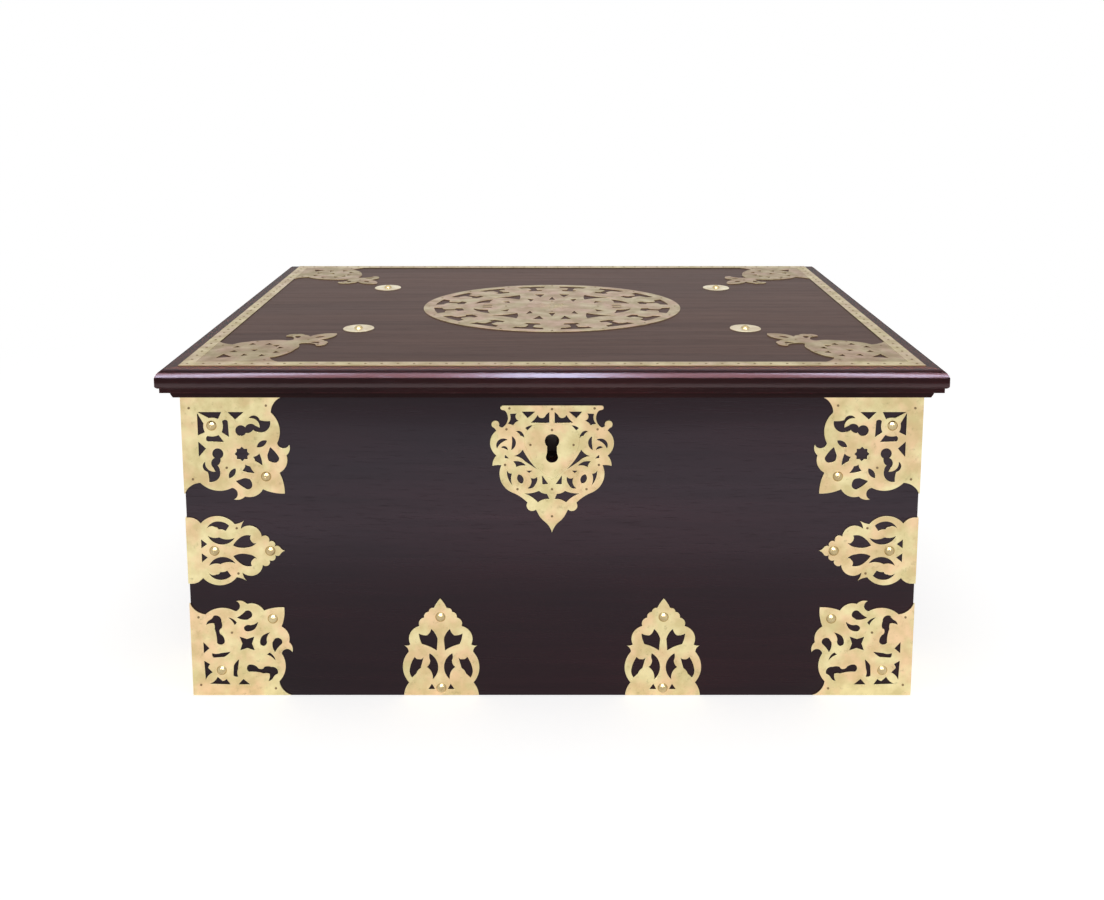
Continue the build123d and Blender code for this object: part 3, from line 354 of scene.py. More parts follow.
def slot_bar(screw, axis, side, turn):
    """A thin bar across the head of a screw, sunk by the depth of the slot."""
    spots = [vertex.co for vertex in screw.data.vertices]
    ends = [(min(spot[i] for spot in spots), max(spot[i] for spot in spots)) for i in range(3)]
    middle = Vector([(low + high) / 2 for low, high in ends])
    head = max(end * side for end in ends[axis]) * side
    middle[axis] = head - side * (slot_depth - bar_over) / 2
    bpy.ops.mesh.primitive_cube_add(size=1, location=middle)
    bar = bpy.context.object
    bar.scale = (slot_width, bar_length, slot_depth + bar_over)
    bar.rotation_euler = (math.radians(90), turn, 0) if axis == 1 else (0, 0, turn)
    bpy.ops.object.transform_apply(location=True, rotation=True, scale=True)
    return bar


def slotted(node, axis, side):
    """The heads face along the axis, 0 to 2, on its high side (1) or low side (-1)."""
    group = copied_from(node, node + "_slotted")
    bpy.ops.mesh.separate(type="LOOSE")
    screws = list(bpy.context.selected_objects)
    for index, screw in enumerate(screws):
        carved(screw, slot_bar(screw, axis, side, math.radians(next_turn * index + first_turn)))
    only(group)
    for screw in screws:
        screw.select_set(True)
    bpy.ops.object.join()
    smooth_below(plate_smoothing)
    return group


lock_screws = slotted("lock_screws", 1, 1)
hinge_screws = slotted("box_hinge_screws", 2, 1)
lid_screws = slotted("lid_screws", 2, -1)

# %% [markdown]
# Materials are built from nodes. Short helpers keep that readable. One adds a node and fills its sockets,
# each with a value or with a link; others calculate, mix two colours, spread a value over a range, or make
# noise.

# %% Helpers for shader nodes
def fill(sockets, inputs, tree):
    for name, value in sockets.items():
        if isinstance(value, bpy.types.NodeSocket):
            tree.links.new(value, inputs[name])
        else:
            inputs[name].default_value = value


def add(tree, kind, sockets=None, **settings):
    made = tree.nodes.new("ShaderNode" + kind)
    for name, value in settings.items():
        setattr(made, name, value)
    fill(sockets or {}, made.inputs, tree)
    return made


def calc(tree, operation, first, second=0.5, third=0.5):
    return add(tree, "Math", {0: first, 1: second, 2: third}, operation=operation).outputs[0]


def blended(tree, factor, first, second):
    return add(tree, "Mix", {0: factor, 6: first, 7: second}, data_type="RGBA").outputs[2]


def ranged(tree, value, low, high, to_low=0.0, to_high=1.0):
    sockets = {"Value": value, "From Min": low, "From Max": high, "To Min": to_low, "To Max": to_high}
    return add(tree, "MapRange", sockets, clamp=True).outputs[0]


def noise(tree, vector, scale, detail, roughness=0.55):
    sockets = {"Vector": vector, "Scale": scale, "Detail": detail, "Roughness": roughness}
    return add(tree, "TexNoise", sockets).outputs[0]


def times(colour, factor, most=1.0):
    """The same colour, lighter or darker."""
    return tuple(min(channel * factor, most) for channel in colour[:3]) + (1.0,)


# %% [markdown]
# A shader group is built once and used by every material that needs the effect, with its own numbers each
# time.

# %% Helpers for shader groups
def new_group(name, inputs, outputs):
    group = bpy.data.node_groups.new(name, "ShaderNodeTree")
    for socket, kind, value in inputs:
        made = group.interface.new_socket(socket, in_out="INPUT", socket_type="NodeSocket" + kind)
        if value is not None:
            made.default_value = value
    for socket in outputs:
        group.interface.new_socket(socket, in_out="OUTPUT", socket_type="NodeSocketFloat")
    start = group.nodes.new("NodeGroupInput")
    end = group.nodes.new("NodeGroupOutput")
    print("shader group", name, "gives", ", ".join(outputs))
    return group, start.outputs, end.inputs


def use(tree, group, sockets):
    placed = add(tree, "Group", node_tree=group)
    fill(sockets, placed.inputs, tree)
    return placed.outputs


# %% [markdown]
# Wood has three things to see at three sizes: slow clouds of tone across a board, long streaks along the
# grain, and fine open pores, also along the grain. All are noise that is stretched along X, so a material
# first turns the coordinates until the board's grain lies along X. A slow waver bends all three together.

# %% Shader group: wood grain
waver_reach = 0.05
# stretch of the noise, its detail and roughness, and the part of it that is spread from 0 to 1
grain_layers = {
    "Cloud": ((1.5, 6.0, 6.0), 3.0, 0.55, 0.3, 0.7),
    "Streak": ((2.5, 70.0, 70.0), 4.0, 0.65, 0.3, 0.72),
    "Pore": ((30.0, 700.0, 700.0), 2.0, 0.55, 0.6, 0.72),
}
grain_group, given, result = new_group("wood_grain", [("Vector", "Vector", None)], list(grain_layers))
waver = add(grain_group, "Mapping", {"Vector": given["Vector"], "Scale": (0.8, 5.0, 5.0)}).outputs[0]
wander = calc(grain_group, "MULTIPLY", noise(grain_group, waver, 1.0, 2.0), waver_reach)
sideways = add(grain_group, "CombineXYZ", {"Y": wander, "Z": wander}).outputs[0]
bent = add(grain_group, "VectorMath", {0: given["Vector"], 1: sideways}, operation="ADD").outputs[0]
for layer, (stretch, detail, roughness, low, high) in grain_layers.items():
    stretched = add(grain_group, "Mapping", {"Vector": bent, "Scale": stretch}).outputs[0]
    pattern = noise(grain_group, stretched, 1.0, detail, roughness)
    grain_group.links.new(ranged(grain_group, pattern, low, high), result[layer])

# %% [markdown]
# Hands, cloths and knocks wear an edge first. The Bevel node gives the normal that a rounded edge would
# have; where that leans away from the true normal, there is an edge near by. A little noise breaks the wear
# up, because real wear is never even. On brass the same mask also paints a highlight, a glint along the
# edges.

# %% Shader group: worn edges and painted glints
edge_starts, edge_full = 0.995, 0.86    # how alike the two normals are
edge_inputs = [("Vector", "Vector", None), ("Reach", "Float", 0.001), ("Patches", "Float", 30.0)]
wear_and_glint_group, given, result = new_group("edge_wear_and_glint", edge_inputs, ["Mask"])
as_if_round = add(wear_and_glint_group, "Bevel", {"Radius": given["Reach"]}, samples=4).outputs[0]
straight = add(wear_and_glint_group, "NewGeometry").outputs["Normal"]
compared = add(wear_and_glint_group, "VectorMath", {0: as_if_round, 1: straight}, operation="DOT_PRODUCT")
edge = ranged(wear_and_glint_group, compared.outputs["Value"], edge_starts, edge_full)
patches = ranged(wear_and_glint_group, noise(wear_and_glint_group, given["Vector"], given["Patches"], 3.0), 0.35, 0.6)
wear_and_glint_group.links.new(calc(wear_and_glint_group, "MULTIPLY", edge, patches), result["Mask"])

# %% [markdown]
# Old brass is never one colour. Rolling and polishing leave broad patches that lean to green, pink or grey,
# fingers leave small darker spots, and the surface itself is slightly wavy from being beaten flat on the
# wood. One group gives these as values, and each brass picks its own colours for them.

# %% Shader group: brass patina
patina_inputs = [("Vector", "Vector", None), ("Scale", "Float", 1.0)]
patina_group, given, result = new_group("patina", patina_inputs, ["Patch", "Hue", "Spot", "Wave", "Scratch"])
sizing = {0: given["Vector"], "Scale": given["Scale"]}
sized = add(patina_group, "VectorMath", sizing, operation="SCALE").outputs[0]
shifted = add(patina_group, "Mapping", {"Vector": sized, "Location": (3.1, 1.7, 0.4)}).outputs[0]
brushing = {"Vector": sized, "Scale": (40.0, 900.0, 900.0), "Rotation": (0.0, 0.3, 0.5)}
brushed = add(patina_group, "Mapping", brushing).outputs[0]
# where the noise is read, its scale, detail and roughness, and the part of it that is spread from 0 to 1
patina_layers = {
    "Patch": (sized, 42.0, 4.0, 0.55, 0.36, 0.64),
    "Hue": (shifted, 26.0, 3.0, 0.55, 0.41, 0.59),
    "Spot": (shifted, 130.0, 4.0, 0.7, 0.58, 0.75),
}
for layer, (where, scale, detail, roughness, low, high) in patina_layers.items():
    pattern = noise(patina_group, where, scale, detail, roughness)
    patina_group.links.new(ranged(patina_group, pattern, low, high), result[layer])
patina_group.links.new(noise(patina_group, sized, 28.0, 2.0), result["Wave"])
patina_group.links.new(noise(patina_group, brushed, 1.0, 2.0), result["Scratch"])

# %% [markdown]
# The outside of the chest is stained nearly black and French polished, so it shines softly and the grain
# only just shows through as reddish streaks. The inside was never polished. One material does both: it tells
# the inside by place, with a box whose walls lie inside the boards.

# %% Shader group: the inside of the box
inside_reach = 0.008            # how deep into the boards the unpolished side goes
under_lid = 0.0002              # takes in the underside of the lid itself
lid_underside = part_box("lid_panel")[0].z
front_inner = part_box("front_board")[1].y
back_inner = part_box("back_board")[0].y
inner_half_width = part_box("right_end_board")[0].x + inside_reach
inner_half_depth = (back_inner - front_inner) / 2 + inside_reach
box_middle = (front_inner + back_inner) / 2

inside_group, given, result = new_group("inside_of_box", [("Vector", "Vector", None)], ["Mask"])
place = add(inside_group, "SeparateXYZ", {0: given["Vector"]}).outputs
across = calc(inside_group, "DIVIDE", calc(inside_group, "ABSOLUTE", place[0]), inner_half_width)
off_middle = calc(inside_group, "ABSOLUTE", calc(inside_group, "SUBTRACT", place[1], box_middle))
along_depth = calc(inside_group, "DIVIDE", off_middle, inner_half_depth)
up = calc(inside_group, "DIVIDE", place[2], lid_underside + under_lid)
farthest = calc(inside_group, "MAXIMUM", calc(inside_group, "MAXIMUM", across, along_depth), up)
inside_group.links.new(calc(inside_group, "LESS_THAN", farthest, 1.0), result["Mask"])

# %% [markdown]
# A narrow groove, the quirk, parts the round nose of the lid from its flat top. It gets painted shade: a
# near-black colour for the shadow in the groove, and a rough finish, so it stays a dull dark line. We find
# it
# by place too: it runs at one distance in from the nose. The flat behind it isn't polished like the nose
# either. It has a colour of its own, warm in front and dark along the ends.

# %% Shader group: the painted shade in the quirk
quirk_start, quirk_end = 0.0068, 0.0090     # in from the front of the nose
quirk_height = 0.004                        # below the top of the moulding
nose_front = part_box("lid_front_moulding")[0].y
nose_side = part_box("lid_right_moulding")[1].x
moulding_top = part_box("lid_front_moulding")[1].z

quirk_group, given, result = new_group("painted_quirk_shade_and_flat", [("Vector", "Vector", None)], ["Mask", "Flat"])
place = add(quirk_group, "SeparateXYZ", {0: given["Vector"]}).outputs
from_front = calc(quirk_group, "SUBTRACT", place[1], nose_front)
from_side = calc(quirk_group, "SUBTRACT", nose_side, calc(quirk_group, "ABSOLUTE", place[0]))
inset = calc(quirk_group, "MINIMUM", from_front, from_side)
within = calc(quirk_group, "COMPARE", inset, (quirk_start + quirk_end) / 2, (quirk_end - quirk_start) / 2)
behind = calc(quirk_group, "GREATER_THAN", inset, quirk_end)
upper = calc(quirk_group, "GREATER_THAN", place[2], moulding_top - quirk_height)
quirk_group.links.new(calc(quirk_group, "MULTIPLY", within, upper), result["Mask"])
quirk_group.links.new(calc(quirk_group, "MULTIPLY", behind, upper), result["Flat"])

# %% [markdown]
# Now the wood itself. The colours are written as they are under even light, except those of the lid's top,
# which also carry painted light. The polish is the shader's own gloss: low roughness that rises over the
# pores, with a slight bump so that reflections break up along the grain.

# %% A recipe for wood
bare_pale, bare_dark = (0.17, 0.085, 0.048, 1.0), (0.10, 0.045, 0.026, 1.0)
bare_pore = (0.035, 0.016, 0.010, 1.0)
# the quirk's colour is painted shade: near black for the shadow in its groove
quirk_painted_shade = (0.008, 0.004, 0.003, 1.0)
bare_rough, flat_rough, quirk_rough = 0.62, 0.42, 0.75
streaks_darken, pores_darken, bare_pores_darken, wear_lightens = 0.55, 0.5, 0.6, 0.55
streaks_roughen, pores_roughen = 0.05, 0.10
streak_height, pore_height = -0.4, -0.6


def new_material(name):
    material = bpy.data.materials.new(name)
    material.use_nodes = True
    tree = material.node_tree
    shader = tree.nodes["Principled BSDF"]
    place = tree.nodes.new("ShaderNodeTexCoord").outputs["Object"]
    print("finish:", name)
    return material, tree, shader, place


def where_masked(tree, mask, tone, rough, new_tone, new_rough):
    return blended(tree, mask, tone, new_tone), ranged(tree, mask, 0.0, 1.0, rough, new_rough)


def wood(name, turn, dark, warm, gloss, index, inside=True, flat=None):
    """The grain runs along X once the coordinates are turned. Its two colours are dark and warm. A moulding
    also has a quirk, and behind it a flat with a colour of its own."""
    material, tree, shader, place = new_material(name)
    turned = add(tree, "Mapping", {"Vector": place, "Rotation": turn}).outputs[0]
    grain = use(tree, grain_group, {"Vector": turned})
    wear_and_glint_mask = use(tree, wear_and_glint_group, {"Vector": place, "Reach": 0.0016, "Patches": 45.0})["Mask"]
    deep, rubbed = times(dark, 0.45), times(warm, 2.6)
    tone = blended(tree, grain["Cloud"], dark, warm)
    tone = blended(tree, calc(tree, "MULTIPLY", grain["Streak"], streaks_darken), tone, deep)
    tone = blended(tree, calc(tree, "MULTIPLY", grain["Pore"], pores_darken), tone, deep)
    tone = blended(tree, calc(tree, "MULTIPLY", wear_and_glint_mask, wear_lightens), tone, rubbed)
    rough = calc(tree, "MULTIPLY_ADD", grain["Pore"], pores_roughen, gloss)
    rough = calc(tree, "MULTIPLY_ADD", grain["Streak"], streaks_roughen, rough)
    if inside:
        bare = blended(tree, grain["Streak"], bare_pale, bare_dark)
        bare = blended(tree, calc(tree, "MULTIPLY", grain["Pore"], bare_pores_darken), bare, bare_pore)
        unpolished = use(tree, inside_group, {"Vector": place})["Mask"]
        tone, rough = where_masked(tree, unpolished, tone, rough, bare, bare_rough)
    if flat:
        found = use(tree, quirk_group, {"Vector": place})
        tone, rough = where_masked(tree, found["Flat"], tone, rough, flat, flat_rough)
        # painted shade in the quirk
        tone, rough = where_masked(tree, found["Mask"], tone, rough, quirk_painted_shade, quirk_rough)
    tree.links.new(tone, shader.inputs["Base Color"])
    tree.links.new(rough, shader.inputs["Roughness"])
    shader.inputs["IOR"].default_value = index
    relief = calc(tree, "MULTIPLY", grain["Streak"], streak_height)
    relief = calc(tree, "MULTIPLY_ADD", grain["Pore"], pore_height, relief)
    bump = add(tree, "Bump", {"Height": relief, "Strength": 0.35, "Distance": 0.0002})
    tree.links.new(bump.outputs[0], shader.inputs["Normal"])
    return material


# %% [markdown]
# The box is nearly black and the round nose reddest. The top of the lid is redder and much lighter than the
# box: partly its own tone, partly painted light, as the top catches more light than the front. The low
# refractive indices keep the even sky from veiling the dark wood. Bare wood is for the floor of the chest
# and the battens, which were never stained.

# %% Polished and bare wood
along_x = (0.0, 0.0, 0.0)
along_y = (0.0, 0.0, math.radians(90))
near_black = (0.021, 0.005, 0.013, 1.0)
red_brown = (0.052, 0.011, 0.020, 1.0)
# the lid's top colours: the wood's own tone with painted light
top_dark_and_painted_light = (0.078, 0.029, 0.019, 1.0)
top_warm_and_painted_light = (0.130, 0.052, 0.032, 1.0)
nose_dark = (0.036, 0.013, 0.015, 1.0)
nose_warm = (0.110, 0.027, 0.028, 1.0)
front_flat = (0.110, 0.048, 0.036, 1.0)
side_flat = (0.024, 0.013, 0.011, 1.0)
plain_dark = (0.10, 0.048, 0.028, 1.0)
box_gloss, box_index = 0.26, 1.31
lid_gloss, lid_index = 0.42, 1.18
nose_gloss, nose_index = 0.15, 1.15
plain_gloss, plain_index = 0.6, 1.4


def nose_wood(name, turn, flat):
    return wood(name, turn, nose_dark, nose_warm, nose_gloss, nose_index, inside=False, flat=flat)


def plain_wood(name, turn):
    return wood(name, turn, plain_dark, bare_pale, plain_gloss, plain_index, inside=False)


front_wood = wood("front_wood", along_x, near_black, red_brown, box_gloss, box_index)
side_wood = wood("side_wood", along_y, near_black, red_brown, box_gloss, box_index)
lid_wood = wood("lid_wood", along_x, top_dark_and_painted_light, top_warm_and_painted_light, lid_gloss, lid_index)
moulding_wood = nose_wood("moulding_wood", along_x, front_flat)
side_moulding_wood = nose_wood("side_moulding_wood", along_y, side_flat)
bare_wood = plain_wood("bare_wood", along_x)
bare_cross_wood = plain_wood("bare_cross_wood", along_y)

# %% [markdown]
# Brass gets most of its look from what it reflects, so the base colour is the colour of that reflection. The
# sheet on the box is kept bright with polish; the sheet on the lid is given duller, darker colours, painted
# shade for the darker room that the top of the lid reflects. The filed chamfers and the high edges are
# lighter than the rest: partly rubbed bright, partly a painted glint.

# %% A recipe for brass
patches_dull, spots_darken, tarnish_roughens = 0.6, 0.4, 0.12
scratch_height = 0.02


def brass(name, pale, pink, dull, gloss, patina_scale=1.0, waviness=0.35, rubbing_and_glint=0.85, painted_shade_below=None):
    """Below a given height, such as the edge of a strip that lies on the lid, the colour is painted shade.
    """
    material, tree, shader, place = new_material(name)
    old = use(tree, patina_group, {"Vector": place, "Scale": patina_scale})
    wear_and_glint_mask = use(tree, wear_and_glint_group, {"Vector": place, "Reach": 0.0011, "Patches": 60.0})["Mask"]
    spot, rubbed_glint = times(dull, 0.4), times(pale, 1.5, 0.96)
    tone = blended(tree, old["Hue"], pale, pink)
    tone = blended(tree, calc(tree, "MULTIPLY", old["Patch"], patches_dull), tone, dull)
    tone = blended(tree, calc(tree, "MULTIPLY", old["Spot"], spots_darken), tone, spot)
    # the edges turn lighter: partly rubbed wear, partly a painted highlight along the cut edges
    tone = blended(tree, calc(tree, "MULTIPLY", wear_and_glint_mask, rubbing_and_glint), tone, rubbed_glint)
    # painted shade: below the given height the cut edge is darkened to the spot colour
    if painted_shade_below:
        height = add(tree, "SeparateXYZ", {0: place}).outputs[2]
        tone = blended(tree, calc(tree, "LESS_THAN", height, painted_shade_below), tone, spot)
    rough = calc(tree, "MULTIPLY_ADD", old["Patch"], tarnish_roughens, gloss)
    rough = calc(tree, "MULTIPLY_ADD", old["Spot"], tarnish_roughens, rough)
    tree.links.new(tone, shader.inputs["Base Color"])
    tree.links.new(rough, shader.inputs["Roughness"])
    shader.inputs["Metallic"].default_value = 1.0
    relief = calc(tree, "MULTIPLY", old["Wave"], waviness)
    relief = calc(tree, "MULTIPLY_ADD", old["Scratch"], scratch_height, relief)
    bump = add(tree, "Bump", {"Height": relief, "Strength": 0.5, "Distance": 0.002})
    tree.links.new(bump.outputs[0], shader.inputs["Normal"])
    return material


# %% [markdown]
# Each brass names three colours: the pale one, the pink one that it leans to, and the dull one of its
# patches. The domed nails are the glossiest, and the pins are nearly brown.

# %% Brass finishes
sheet_colours = (0.86, 0.75, 0.42, 1.0), (0.87, 0.62, 0.37, 1.0), (0.56, 0.46, 0.21, 1.0)
# the lid's sheet colours are darker than the box's: painted shade for the darker room that the lid reflects
lid_painted_shade_colours = (0.50, 0.41, 0.24, 1.0), (0.48, 0.31, 0.21, 1.0), (0.27, 0.21, 0.11, 1.0)
corner_painted_shade_colours = (0.42, 0.33, 0.18, 1.0), (0.41, 0.26, 0.17, 1.0), (0.22, 0.17, 0.08, 1.0)
rosette_colours = (0.78, 0.70, 0.50, 1.0), (0.74, 0.60, 0.42, 1.0), (0.50, 0.42, 0.27, 1.0)
# the strips on the lid are darker too: painted shade
strip_painted_shade_colours = (0.60, 0.50, 0.27, 1.0), (0.52, 0.38, 0.24, 1.0), (0.34, 0.27, 0.12, 1.0)
nail_colours = (0.60, 0.49, 0.27, 1.0), (0.56, 0.43, 0.23, 1.0), (0.36, 0.27, 0.13, 1.0)
pin_colours = (0.30, 0.22, 0.12, 1.0), (0.26, 0.17, 0.09, 1.0), (0.14, 0.09, 0.045, 1.0)
cast_colours = (0.56, 0.43, 0.21, 1.0), (0.52, 0.36, 0.19, 1.0), (0.26, 0.19, 0.09, 1.0)

strip_edge = skin_lid - chamfer / 2
sheet_brass = brass("sheet_brass", *sheet_colours, gloss=0.28)
lid_brass = brass("lid_brass", *lid_painted_shade_colours, gloss=0.34)
corner_brass = brass("corner_brass", *corner_painted_shade_colours, gloss=0.36)
rosette_brass = brass("rosette_brass", *rosette_colours, gloss=0.30)
strip_brass = brass("strip_brass", *strip_painted_shade_colours, gloss=0.30, rubbing_and_glint=0.1, painted_shade_below=strip_edge)
nail_brass = brass("nail_brass", *nail_colours, gloss=0.16, patina_scale=2.0, waviness=0.1)
pin_brass = brass("pin_brass", *pin_colours, gloss=0.42, patina_scale=3.0, waviness=0.1)
cast_brass = brass("cast_brass", *cast_colours, gloss=0.30, patina_scale=1.5, waviness=0.2)

# %% [markdown]
# The lock is blackened iron with a bloom of rust where oil has gone, and its screws are plain steel. Both
# come from one recipe: a dark metal, a second colour in patches, and edges that have rubbed bright.

# %% Iron and steel
rust_roughens, rust_metallic = 0.35, 0.35
iron_scratch_height = 0.1


def iron(name, dark, patch, rubbed, gloss, rustiness):
    material, tree, shader, place = new_material(name)
    old = use(tree, patina_group, {"Vector": place, "Scale": 1.6})
    wear_and_glint_mask = use(tree, wear_and_glint_group, {"Vector": place, "Reach": 0.0008, "Patches": 120.0})["Mask"]
    faint_patch = calc(tree, "MULTIPLY", old["Patch"], 0.5)
    rust = calc(tree, "MULTIPLY", calc(tree, "MAXIMUM", old["Spot"], faint_patch), rustiness)
    tone = blended(tree, rust, dark, patch)
    tone = blended(tree, wear_and_glint_mask, tone, rubbed)
    tree.links.new(tone, shader.inputs["Base Color"])
    tree.links.new(calc(tree, "MULTIPLY_ADD", rust, rust_roughens, gloss), shader.inputs["Roughness"])
    tree.links.new(ranged(tree, rust, 0.0, 1.0, 1.0, rust_metallic), shader.inputs["Metallic"])
    relief = calc(tree, "MULTIPLY_ADD", old["Scratch"], iron_scratch_height, old["Spot"])
    bump = add(tree, "Bump", {"Height": relief, "Strength": 0.4, "Distance": 0.0003})
    tree.links.new(bump.outputs[0], shader.inputs["Normal"])
    return material


iron_colours = (0.09, 0.085, 0.085, 1.0), (0.16, 0.065, 0.03, 1.0), (0.40, 0.39, 0.38, 1.0)
steel_colours = (0.38, 0.37, 0.36, 1.0), (0.20, 0.12, 0.07, 1.0), (0.62, 0.61, 0.60, 1.0)
black_iron = iron("black_iron", *iron_colours, gloss=0.42, rustiness=0.6)
plain_steel = iron("plain_steel", *steel_colours, gloss=0.32, rustiness=0.35)

# %% [markdown]
# Now every piece gets its finish. The pieces that we copied have no material yet, so theirs is added. The
# solids that stand as they came already have slots, and the finish goes into those.

# %% Give every piece its finish
def finish(pieces, material):
    for piece in pieces:
        if piece.data.materials:
            for index in range(len(piece.data.materials)):
                piece.material_slots[index].material = material
        else:
            piece.data.materials.append(material)


def solids_with(*words):
    return [nodes[name] for name in nodes if any(word in name for word in words)]


lock_parts = "lock_case", "lock_bolt", "lock_backspring", "lock_key_post", "lock_link_plate"
finish(box_plates, sheet_brass)
for piece, sheet in zip(lid_plates, lid_sheets):
    finish([piece], strip_brass if "strip" in sheet else corner_brass if "mount" in sheet else lid_brass)
finish([front_board, back_board], front_wood)
finish([bottom_board], bare_wood)
finish(end_boards, side_wood)
finish(battens, bare_cross_wood)
finish([nodes["lid_panel"]], lid_wood)
finish([front_moulding, front_lip], moulding_wood)
finish([left_moulding, left_lip, right_moulding, right_lip], side_moulding_wood)
finish([nodes["body_nails"], nodes["lid_nails"]], nail_brass)
finish([nodes["lid_rosettes"]], rosette_brass)
finish([nodes["body_pins"], nodes["lid_pins"]], pin_brass)
finish(solids_with("_leaf", "hinge_pin", "posts", "bail"), cast_brass)
finish([hinge_screws, lid_screws], cast_brass)
finish(solids_with(*lock_parts), black_iron)
finish([lock_screws, nodes["handle_nuts"]], plain_steel)
print("finishes in use:", sum(material.users > 0 for material in bpy.data.materials))

# %% [markdown]
# The chest stands on a pale floor that fades to white. The floor takes the chest's shadow near it; farther
# out it turns into plain white for the camera and for reflections, so that no horizon shows. The fade is
# round, so it looks the same from every side.

# %% Floor
pure_white = (1.0, 1.0, 1.0, 1.0)
floor_radius = 14.0
fade_start, fade_end = 0.9, 2.2         # from the middle of the chest
floor_colour = (0.82, 0.82, 0.82, 1.0)
floor_glow = 0.68


def directly_seen(tree):
    """1 for the camera, for reflections and through glass; 0 for light that only falls on things."""
    path = tree.nodes.new("ShaderNodeLightPath").outputs
    eye_or_gloss = calc(tree, "MAXIMUM", path["Is Camera Ray"], path["Is Glossy Ray"])
    return calc(tree, "MAXIMUM", eye_or_gloss, path["Is Transmission Ray"])


bpy.ops.object.select_all(action="DESELECT")
bpy.ops.mesh.primitive_circle_add(vertices=96, radius=floor_radius, fill_type="NGON", location=(0, 0, 0))
floor = bpy.context.object
floor.name = "floor"
paper = bpy.data.materials.new("paper_floor")
paper.use_nodes = True
tree = paper.node_tree
tree.nodes.clear()
place = tree.nodes.new("ShaderNodeTexCoord").outputs["Object"]
distance = add(tree, "VectorMath", {0: place}, operation="LENGTH").outputs["Value"]
far = ranged(tree, distance, fade_start, fade_end)
seen = directly_seen(tree)
matt = add(tree, "BsdfDiffuse", {"Color": floor_colour}).outputs[0]
glow_strength = calc(tree, "MULTIPLY", seen, floor_glow)
glow = add(tree, "Emission", {"Color": pure_white, "Strength": glow_strength}).outputs[0]
near_floor = add(tree, "AddShader", {0: matt, 1: glow}).outputs[0]
white = add(tree, "Emission", {"Color": pure_white, "Strength": 1.0}).outputs[0]
shown = add(tree, "MixShader", {0: calc(tree, "MULTIPLY", far, seen), 1: near_floor, 2: white}).outputs[0]
add(tree, "OutputMaterial", {"Surface": shown})
floor.data.materials.append(paper)
print(floor.name, "fades to white between", fade_start, "and", fade_end, "m")

# %% [markdown]
# The light is plain and soft: an even sky from all round and one large panel overhead. The sky looks white
# but lights the chest only dimly, so that the panel's soft shadow still shows.

# %% Sky and panel
sky_light, sky_looks = 0.32, 1.0
world = bpy.data.worlds.new("studio")
bpy.context.scene.world = world
world.use_nodes = True
tree = world.node_tree
background = tree.nodes["Background"]
background.inputs["Color"].default_value = pure_white
strength = ranged(tree, directly_seen(tree), 0.0, 1.0, sky_light, sky_looks)
tree.links.new(strength, background.inputs["Strength"])


def panel(name, place, aim, width, height, radiance):
    """A soft panel lamp that gives the stated brightness over its own face."""
    bpy.ops.object.light_add(type="AREA", location=place)
    lamp = bpy.context.object
    lamp.name = name
    lamp.data.shape = "RECTANGLE"
    lamp.data.size = width
    lamp.data.size_y = height
    lamp.data.energy = radiance * math.pi * width * height
    lamp.rotation_euler = (Vector(aim) - Vector(place)).to_track_quat("-Z", "Y").to_euler()
    lamp.visible_camera = False
    return lamp


overhead = panel("overhead", (0.0, -0.4, 2.8), (0.0, 0.0, 0.4), 2.6, 2.2, 1.0)
print("sky and", overhead.name, "panel made")

# %% [markdown]
# The other lamps only draw highlights in polish. Each is linked to the pieces that it is for and lights
# nothing else. Tall ones in front run along the round nose of the lid and the domed nails, and a wide dim
# one fills in between them. Two low ones stand for the glow that the floor sends back up: into the underside
# of the nose, and as a faint sheen across the front.

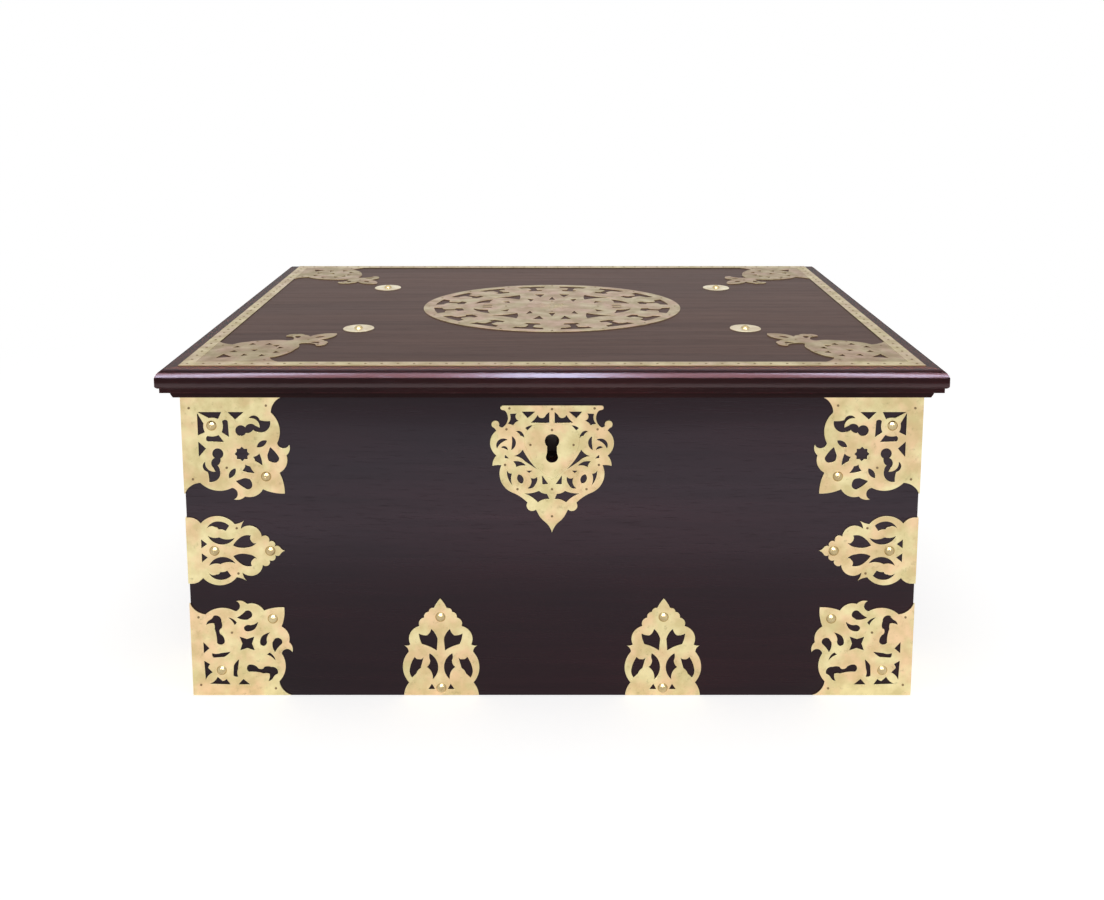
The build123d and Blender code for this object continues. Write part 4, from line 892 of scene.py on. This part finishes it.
# %% Lamps for the polish
tall_y, tall_z, tall_height = -2.0, 2.0, 2.1
aim_y, aim_z = -0.35, 0.45      # the front edge of the lid
inward = 0.4                    # a lamp aims at this share of its own distance from the middle
low_z = 0.02
narrow, wide = 0.36, 4.4
tall_places = (-1.12, 0.6), (0.0, 1.0), (1.12, 0.6)     # x, and the share of the full strength
nose_radiance, nail_radiance = 200.0, 22.0
cool, plain, rosy = (0.66, 0.74, 1.0), (1.0, 1.0, 1.0), (1.0, 0.55, 0.60)
floor_warm, floor_cool = (1.0, 0.92, 0.95), (0.85, 0.85, 1.0)


def lit_set(name, pieces):
    lit = bpy.data.collections.new(name)
    for piece in pieces:
        lit.objects.link(piece)
    return lit


def gloss_only(lamp, colour, lit):
    lamp.data.color = colour
    lamp.visible_diffuse = False
    lamp.light_linking.receiver_collection = lit
    print(lamp.name, "lights", len(lit.objects), "pieces")


def tall_lamp(name, x, width, radiance):
    return panel(name, (x, tall_y, tall_z), (x * inward, aim_y, aim_z), width, tall_height, radiance)


def low_lamp(name, y, width, depth, radiance):
    return panel(name, (0.0, y, low_z), (0.0, y, 1.0), width, depth, radiance)


mouldings = [front_moulding, left_moulding, right_moulding]
nose_lit = lit_set("nose_lit", mouldings + [front_lip, left_lip, right_lip])
under_lit = lit_set("under_lit", mouldings)
nail_lit = lit_set("nail_lit", [nodes["body_nails"], nodes["lid_nails"]])
front_lit = lit_set("front_lit", [front_board])
for index, (x, share) in enumerate(tall_places):
    gloss_only(tall_lamp("nose_light_" + str(index), x, narrow, nose_radiance * share), cool, nose_lit)
    gloss_only(tall_lamp("nail_light_" + str(index), x, narrow, nail_radiance * share), plain, nail_lit)
gloss_only(tall_lamp("nose_wash", 0.0, wide, 36.0), rosy, nose_lit)
gloss_only(low_lamp("nose_bounce", -0.9, 3.2, 0.8, 7.0), floor_warm, under_lit)
gloss_only(low_lamp("front_sheen", -1.1, 2.6, 0.7, 1.7), floor_cool, front_lit)

# %% [markdown]
# The camera stands in front of the chest, a little above the lid, and looks slightly down. Its frame is slid
# down a little, as with a shift lens, so the chest sits in the middle of the picture.

# %% Camera
camera_place = (0.0, -1.761, 0.843)
camera_tilt = math.radians(82.13)       # 90 degrees would look level
bpy.ops.object.camera_add(location=camera_place, rotation=(camera_tilt, 0.0, 0.0))
camera = bpy.context.object
camera.data.sensor_width = 36.0
camera.data.lens = 36.88
camera.data.shift_y = -0.2112
bpy.context.scene.camera = camera
bpy.context.scene.view_settings.view_transform = "Standard"
print("camera", camera_place, "with a lens of", round(camera.data.lens, 2), "mm")
